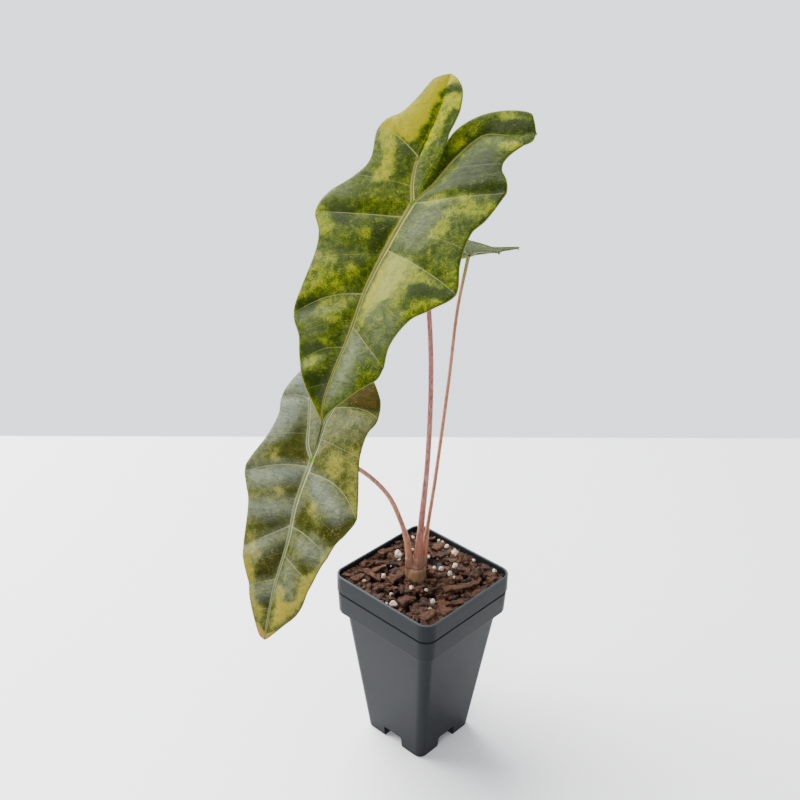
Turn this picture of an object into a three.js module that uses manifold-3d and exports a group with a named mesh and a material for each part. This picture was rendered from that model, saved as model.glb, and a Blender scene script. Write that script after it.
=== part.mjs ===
// Potted alocasia with three arrow-shaped leaves in a square nursery pot.
// Millimetres, Z up. The two large blades hang towards -Y.
import * as THREE from 'three';
import { mergeVertices } from 'three/addons/utils/BufferGeometryUtils.js';
import Module from 'manifold-3d';

const wasm = await Module();
wasm.setup();

// Driving dimensions of the pot
const potHeight = 96;
const rimHalf = 31.5;
const baseHalf = 18.9;
const bodyTopHalf = 30.2;
const wall = 1.2;
const rimCorner = 6.5;
const footCorner = 4;
const edgeRound = 0.5;
const bandTop = 85.6;
const bandBottom = 74.5;
const bandInset = 0.4;
const grooveHeight = 1;
const grooveInset = 1;
const rimBottom = bandTop + grooveHeight;
const stepHeight = 0.01;
const potTurn = 47.2 * Math.PI / 180;
const footGap = 12;
const footHeight = 3;
const notchHeight = 6.5;
const floorTop = 4.6;

// Driving dimensions of the plant
const gap = 0.3;
const soilTop = 91;
const chipSpacing = 6.6;
const chipShift = 3.4;
const chipSides = [2.2, 1.2, 1.3];
const grainShare = 0.24;
const holeDepth = 30;
const stemAt = new THREE.Vector2(-3, 2.2);
const stemRadius = 6.4;
const stemFoot = 77;
const sheathTop = 104;
const bladeThickness = 0.9;
const veinHalfWidth = 0.048;

const satin = (color, roughness) => new THREE.MeshStandardMaterial({ color, roughness, metalness: 0 });
const plasticMaterial = satin(0x555b5e, 0.55);
const soilMaterial = satin(0x4a2b20, 0.95);
const stemMaterial = satin(0xa07a5a, 0.6);
const redStalkMaterial = satin(0xb06f68, 0.45);
const tanStalkMaterial = satin(0xc08a6c, 0.45);
const bladeMaterial = satin(0x66752a, 0.35);
const greyBladeMaterial = satin(0x7d8660, 0.35);

// Booleans

function toSolid(geometry) {
  const bare = geometry.clone();
  bare.deleteAttribute('normal');
  bare.deleteAttribute('uv');
  const welded = mergeVertices(bare, 1e-4);
  const corners = [];
  const index = welded.index.array;
  for (let i = 0; i < index.length; i += 3) {
    const [a, b, c] = [index[i], index[i + 1], index[i + 2]];
    if (a !== b && b !== c && c !== a) corners.push(a, b, c);
  }
  return new wasm.Manifold(new wasm.Mesh({
    numProp: 3,
    vertProperties: new Float32Array(welded.attributes.position.array),
    triVerts: new Uint32Array(corners),
  }));
}

function toGeometry(solid) {
  const { vertProperties, triVerts } = solid.getMesh();
  const geometry = new THREE.BufferGeometry();
  geometry.setAttribute('position', new THREE.BufferAttribute(vertProperties, 3));
  geometry.setIndex(new THREE.BufferAttribute(triVerts, 1));
  return geometry;
}

// Square sections with rounded corners, joined from bottom to top

function roundedSquare(half, radius, stepsPerCorner = 5) {
  const points = [];
  for (let corner = 0; corner < 4; corner += 1) {
    const middle = (corner + 0.5) * Math.PI / 2;
    const centreX = Math.sign(Math.cos(middle)) * (half - radius);
    const centreY = Math.sign(Math.sin(middle)) * (half - radius);
    for (let step = 0; step <= stepsPerCorner; step += 1) {
      const angle = (corner + step / stepsPerCorner) * Math.PI / 2;
      const point = new THREE.Vector2(radius, 0).rotateAround(new THREE.Vector2(), angle);
      points.push(point.add(new THREE.Vector2(centreX, centreY)));
    }
  }
  return points;
}

function stackedSquares(sections) {
  const positions = [];
  const index = [];
  const rings = sections.map(([, half, radius]) => roundedSquare(half, radius));
  const count = rings[0].length;
  rings.forEach((ring, level) => ring.forEach((p) => positions.push(p.x, p.y, sections[level][0])));
  for (let level = 0; level + 1 < rings.length; level += 1) {
    for (let i = 0; i < count; i += 1) {
      const a = level * count + i;
      const b = level * count + (i + 1) % count;
      index.push(a, b, b + count, a, b + count, a + count);
    }
  }
  const bottomCentre = positions.length / 3;
  positions.push(0, 0, sections[0][0], 0, 0, sections.at(-1)[0]);
  const topRing = (rings.length - 1) * count;
  for (let i = 0; i < count; i += 1) {
    const next = (i + 1) % count;
    index.push(bottomCentre, next, i);
    index.push(bottomCentre + 1, topRing + i, topRing + next);
  }
  const geometry = new THREE.BufferGeometry();
  geometry.setAttribute('position', new THREE.Float32BufferAttribute(positions, 3));
  geometry.setIndex(index);
  return geometry;
}

// Pot: tapered wall, a band and a rim with a groove between, four feet and a drain notch in each side

function bodyHalf(z) {
  return baseHalf + (bodyTopHalf - baseHalf) * z / potHeight;
}

function cavity(shrink, top) {
  return stackedSquares([
    [floorTop + shrink, bodyHalf(floorTop) - wall - shrink, footCorner - wall / 2],
    [bandBottom - 1, bodyHalf(bandBottom) - wall - shrink, footCorner],
    [bandBottom + 2, rimHalf - 2 * wall - shrink, rimCorner - wall],
    [rimBottom, rimHalf - 2 * wall - shrink, rimCorner - wall],
    [rimBottom + 2 * wall, rimHalf - wall - shrink, rimCorner - wall],
    [top, rimHalf - wall - shrink, rimCorner - wall],
  ]);
}

function makePot() {
  const outer = toSolid(stackedSquares([
    [0, baseHalf, footCorner],
    [bandBottom - 2, bodyHalf(bandBottom - 2), rimCorner - wall],
    [bandBottom, rimHalf - 2 * bandInset, rimCorner - bandInset],
    [bandTop, rimHalf - bandInset, rimCorner - bandInset],
    [bandTop + stepHeight, rimHalf - grooveInset, rimCorner - grooveInset],
    [rimBottom, rimHalf - grooveInset, rimCorner - grooveInset],
    [rimBottom + stepHeight, rimHalf, rimCorner],
    [potHeight - edgeRound, rimHalf, rimCorner],
    [potHeight, rimHalf - edgeRound, rimCorner - edgeRound],
  ]));
  const channels = [];
  for (const turn of [0, Math.PI / 2]) {
    const channel = new THREE.BoxGeometry(4 * rimHalf, footGap, 2 * footHeight);
    channels.push(toSolid(channel.rotateZ(turn)));
    for (const side of [-1, 1]) {
      const notch = new THREE.BoxGeometry(4 * wall, footGap, 2 * notchHeight);
      notch.translate(side * baseHalf, 0, 0);
      channels.push(toSolid(notch.rotateZ(turn)));
    }
  }
  let pot = outer.subtract(toSolid(cavity(0, potHeight + 1)));
  for (const channel of channels) pot = pot.subtract(channel);
  const mesh = new THREE.Mesh(toGeometry(pot), plasticMaterial);
  mesh.rotation.z = potTurn;
  return mesh;
}

// Soil: fills the pot, with bark chips and perlite grains sunk into its top

function seededRandom(seed) {
  let state = seed;
  return () => {
    state = (state * 1664525 + 1013904223) % 4294967296;
    return state / 4294967296;
  };
}

function makeSoil() {
  const random = seededRandom(7);
  let soil = toSolid(cavity(gap, soilTop));
  const reach = rimHalf - 2 * wall - gap;
  for (let column = -4; column <= 4; column += 1) {
    for (let row = -4; row <= 4; row += 1) {
      const isGrain = random() < grainShare;
      const size = isGrain ? 1.2 + 0.8 * random() : 2.2 + 1.6 * random();
      const limit = reach - size;
      const px = THREE.MathUtils.clamp(column * chipSpacing + (random() - 0.5) * chipShift, -limit, limit);
      const py = THREE.MathUtils.clamp(row * chipSpacing + (random() - 0.5) * chipShift, -limit, limit);
      const piece = isGrain
        ? new THREE.IcosahedronGeometry(size, 0)
        : new THREE.BoxGeometry(...chipSides.map((side) => side * size));
      piece.rotateX((random() - 0.5) * 0.7);
      piece.rotateZ(random() * Math.PI);
      piece.translate(px, py, soilTop + (isGrain ? 0.3 : 0.1) * size);
      soil = soil.add(toSolid(piece));
    }
  }
  const hole = new THREE.CylinderGeometry(stemRadius + gap, stemRadius + gap, holeDepth, 16);
  hole.rotateX(Math.PI / 2);
  const holeAt = stemAt.clone().rotateAround(new THREE.Vector2(), -potTurn);
  hole.translate(holeAt.x, holeAt.y, stemFoot - gap + holeDepth / 2);
  const mesh = new THREE.Mesh(toGeometry(soil.subtract(toSolid(hole))), soilMaterial);
  mesh.rotation.z = potTurn;
  return mesh;
}

// Stalks: a turned profile of [share of the length, radius] pairs, bent along a smooth curve

function stalkGeometry(points, radii, sides = 10, steps = 22) {
  const curve = new THREE.CatmullRomCurve3(points.map((p) => new THREE.Vector3(...p)));
  const frames = curve.computeFrenetFrames(steps, false);
  const profile = [new THREE.Vector2(0, 0)];
  for (let step = 0; step <= steps; step += 1) {
    const share = step / steps;
    let span = 0;
    while (span + 2 < radii.length && share > radii[span + 1][0]) span += 1;
    const [from, to] = [radii[span], radii[span + 1]];
    const radius = THREE.MathUtils.mapLinear(share, from[0], to[0], from[1], to[1]);
    profile.push(new THREE.Vector2(radius, share));
  }
  profile.push(new THREE.Vector2(0, 1));
  const geometry = new THREE.LatheGeometry(profile, sides);
  const position = geometry.attributes.position;
  for (let i = 0; i < position.count; i += 1) {
    const step = Math.round(position.getY(i) * steps);
    const point = curve.getPointAt(step / steps);
    point.addScaledVector(frames.normals[step], position.getX(i));
    point.addScaledVector(frames.binormals[step], -position.getZ(i));
    position.setXYZ(i, point.x, point.y, point.z);
  }
  return geometry;
}

// Each stalk's route starts at its sheath's top and ends under its blade's junction
const stalks = {
  front: {
    sheath: [[-2.6, 2.2, stemFoot + 4], [-2.5, 2.2, 92], [-2.5, 1.6, sheathTop]],
    sheathRadii: [[0, 3.2], [0.5, 3.4], [1, 2.4]],
    route: [[-2.5, 1.6, sheathTop + gap], [-1.6, 0, 122.5], [0.4, -4, 161.5], [0.6, -8, 204.5],
      [-1.4, -13, 239.5], [-5, -18.5, 266]],
    radii: [[0, 2.1], [0.12, 1.6], [0.3, 1.3], [0.95, 1], [1, 1.2]],
  },
  low: {
    sheath: [[-4.6, 2, stemFoot + 4], [-6, 1.9, 92], [-7, 1.7, sheathTop]],
    sheathRadii: [[0, 2.6], [0.5, 2.4], [1, 2.1]],
    route: [[-7, 1.7, sheathTop + gap], [-8.2, 1, 114], [-11.8, -1, 127.5], [-17, -5, 142],
      [-24.5, -11, 155], [-33.5, -18, 166], [-43, -24.5, 172]],
    radii: [[0, 1.8], [0.25, 1.1], [0.95, 0.95], [1, 1.1]],
  },
  back: {
    sheath: [[-1.8, 3.4, stemFoot + 4], [-0.9, 3.8, 92], [0.6, 4.5, sheathTop]],
    sheathRadii: [[0, 2.6], [0.5, 2.4], [1, 1.8]],
    route: [[0.6, 4.5, sheathTop + gap], [1.4, 4.8, 116], [4.6, 6, 145.5], [9.3, 10, 196],
      [11.9, 12, 229.5]],
    radii: [[0, 1.6], [0.15, 0.95], [0.9, 0.75], [1, 0.85]],
  },
};

function makeStemBase() {
  const profile = [[0, stemFoot], [4, stemFoot], [4.8, 84], [5, 92], [4.2, 97], [2, 99.5], [0, 99.5]];
  const core = new THREE.LatheGeometry(profile.map(([r, z]) => new THREE.Vector2(r, z)), 16);
  core.rotateX(Math.PI / 2);
  core.translate(stemAt.x, stemAt.y, 0);
  let stem = toSolid(core);
  for (const stalk of Object.values(stalks)) {
    stem = stem.add(toSolid(stalkGeometry(stalk.sheath, stalk.sheathRadii, 12, 8)));
  }
  return new THREE.Mesh(toGeometry(stem), stemMaterial);
}

// Blades: each knot is [share, along, side] in the blade's own plane, with the junction at 0, 0.
// A share of 0 is the tip, 1 the junction and 2 the tip of a lobe. Along runs to the tip. The shares
// in veins are where a side vein reaches the margin.
const leaves = {
  front: {
    junction: [-9.2, -25, 289.5],
    heading: -123,
    droop: 45,
    roll: 0,
    arch: 0.0011,
    fold: 0.22,
    lobeFold: 0.35,
    quilt: 2.2,
    midrib: [[0, 93.5, -1.5], [0.12, 83, -4], [0.42, 55, -3.3], [0.6, 38.5, -4], [0.83, 16.5, -2],
      [1, 0, 0]],
    left: {
      veins: [0.337, 0.577, 0.935, 1.344],
      lobeDrop: 0,
      rib: [[1, 0, 0], [1.17, -9.5, -4.5], [1.34, -20, -7], [1.65, -40, -8.4], [1.8, -49, -10],
        [2, -62.5, -13]],
      outer: [[0, 93.5, -1.5], [0.03, 91.5, -3], [0.1, 88, -6.5], [0.2, 81.5, -13.5],
        [0.34, 73, -19.5], [0.45, 64.5, -23], [0.58, 56, -29.5], [0.68, 45.5, -30],
        [0.78, 30.5, -30.5], [0.87, 21.5, -33], [0.935, 14, -38.5], [1.03, 4.5, -36],
        [1.12, -4.5, -29.5], [1.22, -14, -26], [1.34, -29.5, -30], [1.5, -38.5, -23], [1.68, -48, -20],
        [1.85, -57, -18.5], [1.95, -60.5, -16], [2, -62.5, -13]],
      inner: [[1, 0, 0], [1.12, -14.5, 1.6], [1.25, -26, 3], [1.4, -32, 2], [1.55, -38, 2.2],
        [1.7, -45, 1.3], [1.85, -54.5, -2.7], [1.95, -60, -8.5], [2, -62.5, -13]],
    },
    right: {
      veins: [0.43, 0.78, 1],
      lobeDrop: 0,
      rib: [[1, 0, 0], [1.17, -9, 4.4], [1.4, -22.5, 8.7], [1.6, -33, 14], [1.7, -36, 18],
        [1.85, -37.5, 26], [2, -40.5, 36.5]],
      outer: [[0, 93.5, -1.5], [0.03, 90, -1], [0.12, 84, 4], [0.25, 76, 12], [0.36, 71.5, 17],
        [0.43, 66.5, 17.5], [0.53, 57, 17.3], [0.62, 47, 21.5], [0.7, 41, 29], [0.78, 33, 36],
        [0.86, 20.5, 32.7], [0.93, 8.5, 32], [0.97, 1.5, 35.5], [1, -10.5, 38.5], [1.2, -20, 32.3],
        [1.45, -25.5, 31.5], [1.75, -32.5, 35], [1.93, -36.5, 37.3], [2, -40.5, 36.5]],
      inner: [[1, 0, 0], [1.1, -14, 2.8], [1.2, -26, 4.3], [1.35, -33.5, 4.6], [1.5, -40, 8.5],
        [1.65, -45, 14.5], [1.8, -47.7, 23], [1.9, -48, 31.3], [1.96, -45, 34], [2, -40.5, 36.5]],
    },
  },
  low: {
    junction: [-50.2, -32, 176.8],
    heading: -110,
    droop: 50,
    roll: 0,
    arch: 0.0012,
    fold: 0.22,
    lobeFold: 0.3,
    quilt: 2,
    midrib: [[0, 78.5, -3], [0.26, 58, -3.3], [0.54, 36, -1.7], [0.75, 19.5, -2], [1, 0, 0]],
    left: {
      veins: [0.33, 0.63, 0.955, 1.55],
      lobeDrop: 0,
      rib: [[1, 0, 0], [1.14, -6, -3.6], [1.33, -15, -5.6], [1.55, -26, -8.2], [1.78, -37.5, -9],
        [2, -48.5, -9.6]],
      outer: [[0, 78.5, -3], [0.03, 77.3, -5.4], [0.1, 72.5, -8.4], [0.22, 64, -12.5],
        [0.36, 56, -15.2], [0.5, 49, -18.5], [0.63, 42.5, -20.5], [0.72, 32.5, -21.4],
        [0.82, 22.5, -23], [0.9, 16.5, -25.6], [0.955, 11, -28], [1.1, 4, -26.6], [1.25, -7, -22],
        [1.4, -17, -20], [1.55, -24.5, -21.2], [1.7, -32, -19.2], [1.85, -40, -15.2],
        [1.95, -45.5, -12], [2, -48.5, -9.6]],
      inner: [[1, 0, 0], [1.15, -7.5, -0.4], [1.33, -15.5, -0.9], [1.5, -24.3, -2.2],
        [1.7, -33.5, -3.1], [1.86, -42, -4.3], [1.95, -47, -6.5], [2, -48.5, -9.6]],
    },
    right: {
      veins: [0.46, 0.62, 0.93, 1.5],
      lobeDrop: 0,
      rib: [[1, 0, 0], [1.12, -5.5, 0.9], [1.36, -18, 1.8], [1.47, -23, 3.4], [1.68, -33, 4.7],
        [2, -50, 5.3]],
      outer: [[0, 78.5, -3], [0.03, 77, -1], [0.12, 71.5, 4.2], [0.25, 66, 9.5], [0.36, 60.5, 12],
        [0.44, 54, 13], [0.52, 46, 15.6], [0.62, 39.5, 18], [0.72, 33, 21], [0.83, 27.5, 24.8],
        [0.93, 21, 27.3], [0.97, 13, 26], [1.03, 6.5, 24.6], [1.12, 0.5, 23], [1.22, -6, 22],
        [1.35, -15, 22.5], [1.48, -21, 25], [1.56, -28.5, 25], [1.66, -33.5, 22.7], [1.78, -39, 18.6],
        [1.9, -45.5, 12.7], [2, -50, 5.3]],
      inner: [[1, 0, 0], [1.13, -8, 0.6], [1.28, -15.7, 0.4], [1.43, -23.7, -0.6], [1.65, -35, -0.8],
        [1.82, -45, -0.2], [1.95, -49.5, 1.8], [2, -50, 5.3]],
    },
  },
  back: {
    junction: [15.8, 15, 254.6],
    heading: 155,
    droop: 20,
    roll: 26,
    arch: 0.002,
    fold: 0.6,
    lobeFold: 0.4,
    quilt: 1,
    midrib: [[0, 46, 0], [0.5, 24, 1], [1, 0, 0]],
    left: {
      veins: [0.4, 0.75, 1],
      lobeDrop: -1.2,
      rib: [[1, 0, 0], [1.4, -7.5, -3.8], [2, -20, -8.5]],
      outer: [[0, 46, 0], [0.12, 41, -4.5], [0.4, 30, -9.5], [0.55, 21, -10.5], [0.75, 12, -15],
        [0.87, 4, -14], [1, -3, -15.5], [1.3, -8.5, -13.5], [1.7, -15, -13.5], [1.93, -19.5, -11.5],
        [2, -20, -8.5]],
      inner: [[1, 0, 0], [1.3, -7, -0.8], [1.6, -13.5, -2], [1.85, -18.5, -5], [2, -20, -8.5]],
    },
    right: {
      veins: [0.4, 0.75, 1],
      lobeDrop: 3,
      rib: [[1, 0, 0], [1.4, -7.5, 4.2], [2, -18.5, 8]],
      outer: [[0, 46, 0], [0.12, 41, 4.5], [0.4, 30, 9.5], [0.55, 21, 10.5], [0.75, 12, 15],
        [0.87, 5, 14], [1, -1, 15.5], [1.3, -7.5, 13.5], [1.7, -13.5, 13], [1.93, -18, 11],
        [2, -18.5, 8]],
      inner: [[1, 0, 0], [1.3, -6.5, 0.9], [1.6, -12.5, 1.6], [1.85, -17.5, 4], [2, -18.5, 8]],
    },
  },
};

// Value of a knotted curve at a share: cubic pieces with the slopes of their neighbours
function through(knots, share) {
  let i = 0;
  while (i + 2 < knots.length && share > knots[i + 1][0]) i += 1;
  const slopeAt = (k, axis) => {
    const before = knots[Math.max(k - 1, 0)];
    const after = knots[Math.min(k + 1, knots.length - 1)];
    return (after[axis] - before[axis]) / (after[0] - before[0]);
  };
  const [from, to] = [knots[i], knots[i + 1]];
  const span = to[0] - from[0];
  const t = (share - from[0]) / span;
  return [1, 2].map((axis) => (2 * t ** 3 - 3 * t ** 2 + 1) * from[axis]
    + (t ** 3 - 2 * t ** 2 + t) * span * slopeAt(i, axis)
    + (3 * t ** 2 - 2 * t ** 3) * to[axis]
    + (t ** 3 - t ** 2) * span * slopeAt(i + 1, axis));
}

// Point of a blade from its rib (across 0) to its margin (across 1). The blade sags along its length,
// folds up from its ribs, and bulges between its side veins. A lobe drops towards its tip.
function bladePoint(leaf, half, share, across, isInner) {
  const rib = share <= 1 ? through(leaf.midrib, share) : through(half.rib, share);
  const margin = through(isInner ? half.inner : half.outer, share);
  const width = Math.hypot(margin[0] - rib[0], margin[1] - rib[1]);
  const along = THREE.MathUtils.lerp(rib[0], margin[0], across);
  const side = THREE.MathUtils.lerp(rib[1], margin[1], across);
  let rise = -leaf.arch * along ** 2 - half.lobeDrop * Math.max(0, share - 1) ** 2;
  if (isInner) {
    rise += leaf.lobeFold * width * (across - 0.35 * across ** 2);
  } else {
    const valleys = half.veins.map((vein) => Math.exp(-(((share - vein) / veinHalfWidth) ** 2)));
    const valley = valleys.reduce((sum, depth) => sum + depth);
    const bulge = Math.max(0, 1 - valley) * Math.min(1, width / 15);
    rise += leaf.fold * width * (across - 0.5 * across ** 2);
    rise += leaf.quilt * bulge * (1.6 * across - 1.2 * across ** 2);
  }
  return new THREE.Vector3(along, side, rise);
}

// Triangles of a blade's face: for each half, the strip outside the rib and the lobe's strip inside it
function bladeFace(leaf, rows, lobeRows, columns, lobeColumns) {
  const positions = [];
  const index = [];
  const shares = [];
  for (let row = 0; row <= rows; row += 1) shares.push(row / rows);
  for (let row = 1; row <= lobeRows; row += 1) shares.push(1 + Math.sin(row / lobeRows * Math.PI / 2));
  for (const half of [leaf.left, leaf.right]) {
    for (const isInner of [false, true]) {
      const strip = isInner ? shares.filter((share) => share >= 1) : shares;
      const count = isInner ? lobeColumns : columns;
      const first = positions.length / 3;
      for (const share of strip) {
        for (let column = 0; column <= count; column += 1) {
          positions.push(...bladePoint(leaf, half, share, column / count, isInner));
        }
      }
      const isFlipped = (half === leaf.left) !== isInner;
      for (let row = 0; row + 1 < strip.length; row += 1) {
        for (let column = 0; column < count; column += 1) {
          const a = first + row * (count + 1) + column;
          const c = a + count + 2;
          const [b, d] = isFlipped ? [a + count + 1, a + 1] : [a + 1, a + count + 1];
          index.push(a, b, c, a, c, d);
        }
      }
    }
  }
  const face = new THREE.BufferGeometry();
  face.setAttribute('position', new THREE.Float32BufferAttribute(positions, 3));
  face.setIndex(index);
  return mergeVertices(face, 1e-3);
}

// Closed solid from an open face: both faces have the same triangles, with a wall along the open edges
function thicken(face, thickness) {
  const top = face.attributes.position;
  const positions = [];
  for (const lift of [thickness / 2, -thickness / 2]) {
    for (let i = 0; i < top.count; i += 1) positions.push(top.getX(i), top.getY(i), top.getZ(i) + lift);
  }
  const index = [];
  const edges = new Map();
  const corners = face.index.array;
  for (let i = 0; i < corners.length; i += 3) {
    const [a, b, c] = [corners[i], corners[i + 1], corners[i + 2]];
    if (a === b || b === c || c === a) continue;
    index.push(a, b, c, top.count + a, top.count + c, top.count + b);
    for (const [from, to] of [[a, b], [b, c], [c, a]]) edges.set(`${from} ${to}`, [from, to]);
  }
  for (const [from, to] of edges.values()) {
    if (edges.has(`${to} ${from}`)) continue;
    index.push(to, from, top.count + from, to, top.count + from, top.count + to);
  }
  const solid = new THREE.BufferGeometry();
  solid.setAttribute('position', new THREE.Float32BufferAttribute(positions, 3));
  solid.setIndex(index);
  return solid;
}

function makeBlade(leaf, material, density) {
  const face = bladeFace(leaf, ...density);
  const mesh = new THREE.Mesh(thicken(face, bladeThickness), material);
  mesh.position.set(...leaf.junction);
  mesh.rotateZ(THREE.MathUtils.degToRad(leaf.heading));
  mesh.rotateY(THREE.MathUtils.degToRad(leaf.droop));
  mesh.rotateX(THREE.MathUtils.degToRad(leaf.roll));
  return mesh;
}

// The stalk's last point lies just under the blade's junction
function makeStalk(stalk, blade, material) {
  const under = new THREE.Vector3(0, 0, -bladeThickness / 2 - 2 * gap);
  const end = under.applyQuaternion(blade.quaternion).add(blade.position);
  return new THREE.Mesh(stalkGeometry([...stalk.route, end.toArray()], stalk.radii), material);
}

const blades = {
  front: makeBlade(leaves.front, bladeMaterial, [32, 16, 6, 3]),
  low: makeBlade(leaves.low, greyBladeMaterial, [32, 16, 6, 3]),
  back: makeBlade(leaves.back, greyBladeMaterial, [12, 8, 4, 2]),
};
const meshes = {
  pot: makePot(),
  soil: makeSoil(),
  stem_base: makeStemBase(),
  petiole_front: makeStalk(stalks.front, blades.front, redStalkMaterial),
  petiole_low: makeStalk(stalks.low, blades.low, tanStalkMaterial),
  petiole_back: makeStalk(stalks.back, blades.back, tanStalkMaterial),
  leaf_front: blades.front,
  leaf_low: blades.low,
  leaf_back: blades.back,
};

// The origin is under the middle of the whole plant's box, on the ground
const plant = new THREE.Group();
for (const [name, mesh] of Object.entries(meshes)) {
  mesh.name = name;
  plant.add(mesh);
}
plant.updateMatrixWorld(true);
const box = new THREE.Box3().setFromObject(plant, true);
plant.position.set(-(box.min.x + box.max.x) / 2, -(box.min.y + box.max.y) / 2, -box.min.z);

const model = new THREE.Group();
model.add(plant);

export default model;
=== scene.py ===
import math
import random

import bmesh
import bpy
from mathutils import Matrix, Vector, noise


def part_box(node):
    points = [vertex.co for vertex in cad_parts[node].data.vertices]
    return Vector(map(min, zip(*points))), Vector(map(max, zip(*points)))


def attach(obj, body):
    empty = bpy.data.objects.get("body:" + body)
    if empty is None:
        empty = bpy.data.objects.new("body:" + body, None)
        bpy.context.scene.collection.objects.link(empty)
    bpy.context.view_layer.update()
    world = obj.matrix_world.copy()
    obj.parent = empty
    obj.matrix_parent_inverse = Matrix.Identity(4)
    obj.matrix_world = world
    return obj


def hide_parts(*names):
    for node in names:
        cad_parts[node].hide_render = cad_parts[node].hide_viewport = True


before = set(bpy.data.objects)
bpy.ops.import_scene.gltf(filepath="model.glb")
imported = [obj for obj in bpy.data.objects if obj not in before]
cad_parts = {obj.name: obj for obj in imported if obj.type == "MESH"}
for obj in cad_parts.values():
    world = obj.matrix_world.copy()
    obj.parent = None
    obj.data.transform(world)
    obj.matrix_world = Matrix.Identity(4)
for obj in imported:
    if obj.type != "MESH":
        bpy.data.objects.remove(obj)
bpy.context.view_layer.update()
mm = 0.001
potLow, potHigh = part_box("pot")
potAxis = Vector(((potLow[0] + potHigh[0]) / 2, (potLow[1] + potHigh[1]) / 2, 0))
print("frame loaded")


def toFrame(point):  # from millimetres off the pot's axis
    return potAxis + Vector(point) * mm


def lerp(a, b, t):
    return a + (b - a) * t


def srgb(red, green, blue):  # 0 to 255, as read off a screen
    def linear(value):
        value /= 255
        return value / 12.92 if value <= 0.04045 else ((value + 0.055) / 1.055) ** 2.4
    return linear(red), linear(green), linear(blue), 1.0


# Materials: small helpers, so that each finish below reads as a recipe

def newMaterial(name, **sockets):
    material = bpy.data.materials.new(name)
    material.use_nodes = True
    shader = material.node_tree.nodes["Principled BSDF"]
    for socket, value in sockets.items():
        shader.inputs[socket.replace("_", " ")].default_value = value
    return material


def addNode(material, kind, inputs, **settings):
    node = material.node_tree.nodes.new(kind)
    for key, value in settings.items():
        setattr(node, key, value)
    for key, value in inputs.items():
        if isinstance(value, bpy.types.NodeSocket):
            material.node_tree.links.new(value, node.inputs[key])
        else:
            node.inputs[key].default_value = value
    return node


def toShader(material, **sockets):
    shader = material.node_tree.nodes["Principled BSDF"]
    for socket, value in sockets.items():
        material.node_tree.links.new(value, shader.inputs[socket.replace("_", " ")])


def attribute(material, name, output="Fac"):
    return addNode(material, "ShaderNodeAttribute", {}, attribute_name=name).outputs[output]


def stretched(material, vector, scale):
    return addNode(material, "ShaderNodeMapping", {"Vector": vector, "Scale": scale}).outputs[0]


def objectPlace(material, scale=(1, 1, 1)):
    place = addNode(material, "ShaderNodeTexCoord", {}).outputs["Object"]
    return stretched(material, place, scale)


def mottle(material, vector, scale, detail=3.0, roughness=0.55, distortion=0.0):
    inputs = {"Vector": vector, "Scale": scale, "Detail": detail, "Roughness": roughness,
              "Distortion": distortion}
    return addNode(material, "ShaderNodeTexNoise", inputs).outputs[0]


def cells(material, vector, scale, feature="F1"):
    inputs = {"Vector": vector, "Scale": scale}
    return addNode(material, "ShaderNodeTexVoronoi", inputs, feature=feature).outputs["Distance"]


def calc(material, operation, a, b=0.0, c=0.0):
    return addNode(material, "ShaderNodeMath", {0: a, 1: b, 2: c}, operation=operation).outputs[0]


def fade(material, value, low, high):  # 0 below low, 1 above high, smooth between
    inputs = {"Value": value, "From Min": low, "From Max": high}
    return addNode(material, "ShaderNodeMapRange", inputs, interpolation_type="SMOOTHSTEP").outputs[0]


def blend(material, factor, a, b):
    return addNode(material, "ShaderNodeMix", {0: factor, 6: a, 7: b}, data_type="RGBA").outputs[2]


def thinned(material, cover, share):
    return calc(material, "MULTIPLY", cover, share)


def coats(material, colour, layers):  # lays coats over a colour, each with how far it covers, 0 to 1
    for cover, tone in layers:
        colour = blend(material, cover, colour, tone)
    return colour


def heightOf(material):
    return addNode(material, "ShaderNodeSeparateXYZ", {"Vector": objectPlace(material)}).outputs[2]


def bump(material, height, distance, strength=1.0):
    inputs = {"Height": height, "Distance": distance, "Strength": strength}
    return addNode(material, "ShaderNodeBump", inputs).outputs[0]


# Meshes: every lofted piece is a grid of rings or rows that an operator makes

def gridOf(bm, rows):  # moves a fresh grid's vertices onto rows of points, and gives them back
    columns, lines = len(rows[0]) - 1, len(rows) - 1
    grid = bmesh.ops.create_grid(bm, x_segments=columns, y_segments=lines, size=1, calc_uvs=True)
    verts = sorted(grid["verts"], key=lambda vert: (round(vert.co.y, 5), vert.co.x))
    for vert, point in zip(verts, [point for row in rows for point in row]):
        vert.co = point
    return verts


def loft(bm, rings):  # closed tube through rings of points, with both ends filled
    verts = gridOf(bm, [ring + ring[:1] for ring in rings])
    bmesh.ops.remove_doubles(bm, verts=verts, dist=1e-7)
    verts = [vert for vert in verts if vert.is_valid]
    edges = {edge for vert in verts for edge in vert.link_edges if edge.is_boundary}
    bmesh.ops.holes_fill(bm, edges=list(edges), sides=0)


def newMesh():
    bm = bmesh.new()
    bm.loops.layers.uv.new("UVMap")
    return bm


def meshOf(name, bm):
    mesh = bpy.data.meshes.new(name)
    bm.to_mesh(mesh)
    bm.free()
    return mesh


def placed(name, data):
    item = bpy.data.objects.new(name, data)
    bpy.context.scene.collection.objects.link(item)
    return item


def bell(distance, reach):  # 1 at no distance, about a third at its reach, then next to nothing
    return math.exp(-((distance / reach) ** 2))


def addPiece(name, bm, materials, node, sharpAngle=40):
    bmesh.ops.recalc_face_normals(bm, faces=bm.faces)
    mesh = meshOf(name, bm)
    for material in materials:
        mesh.materials.append(material)
    mesh.shade_smooth()
    mesh.set_sharp_from_angle(angle=math.radians(sharpAngle))
    piece = placed(name, mesh)
    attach(piece, "root")
    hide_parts(node)
    return piece


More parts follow.
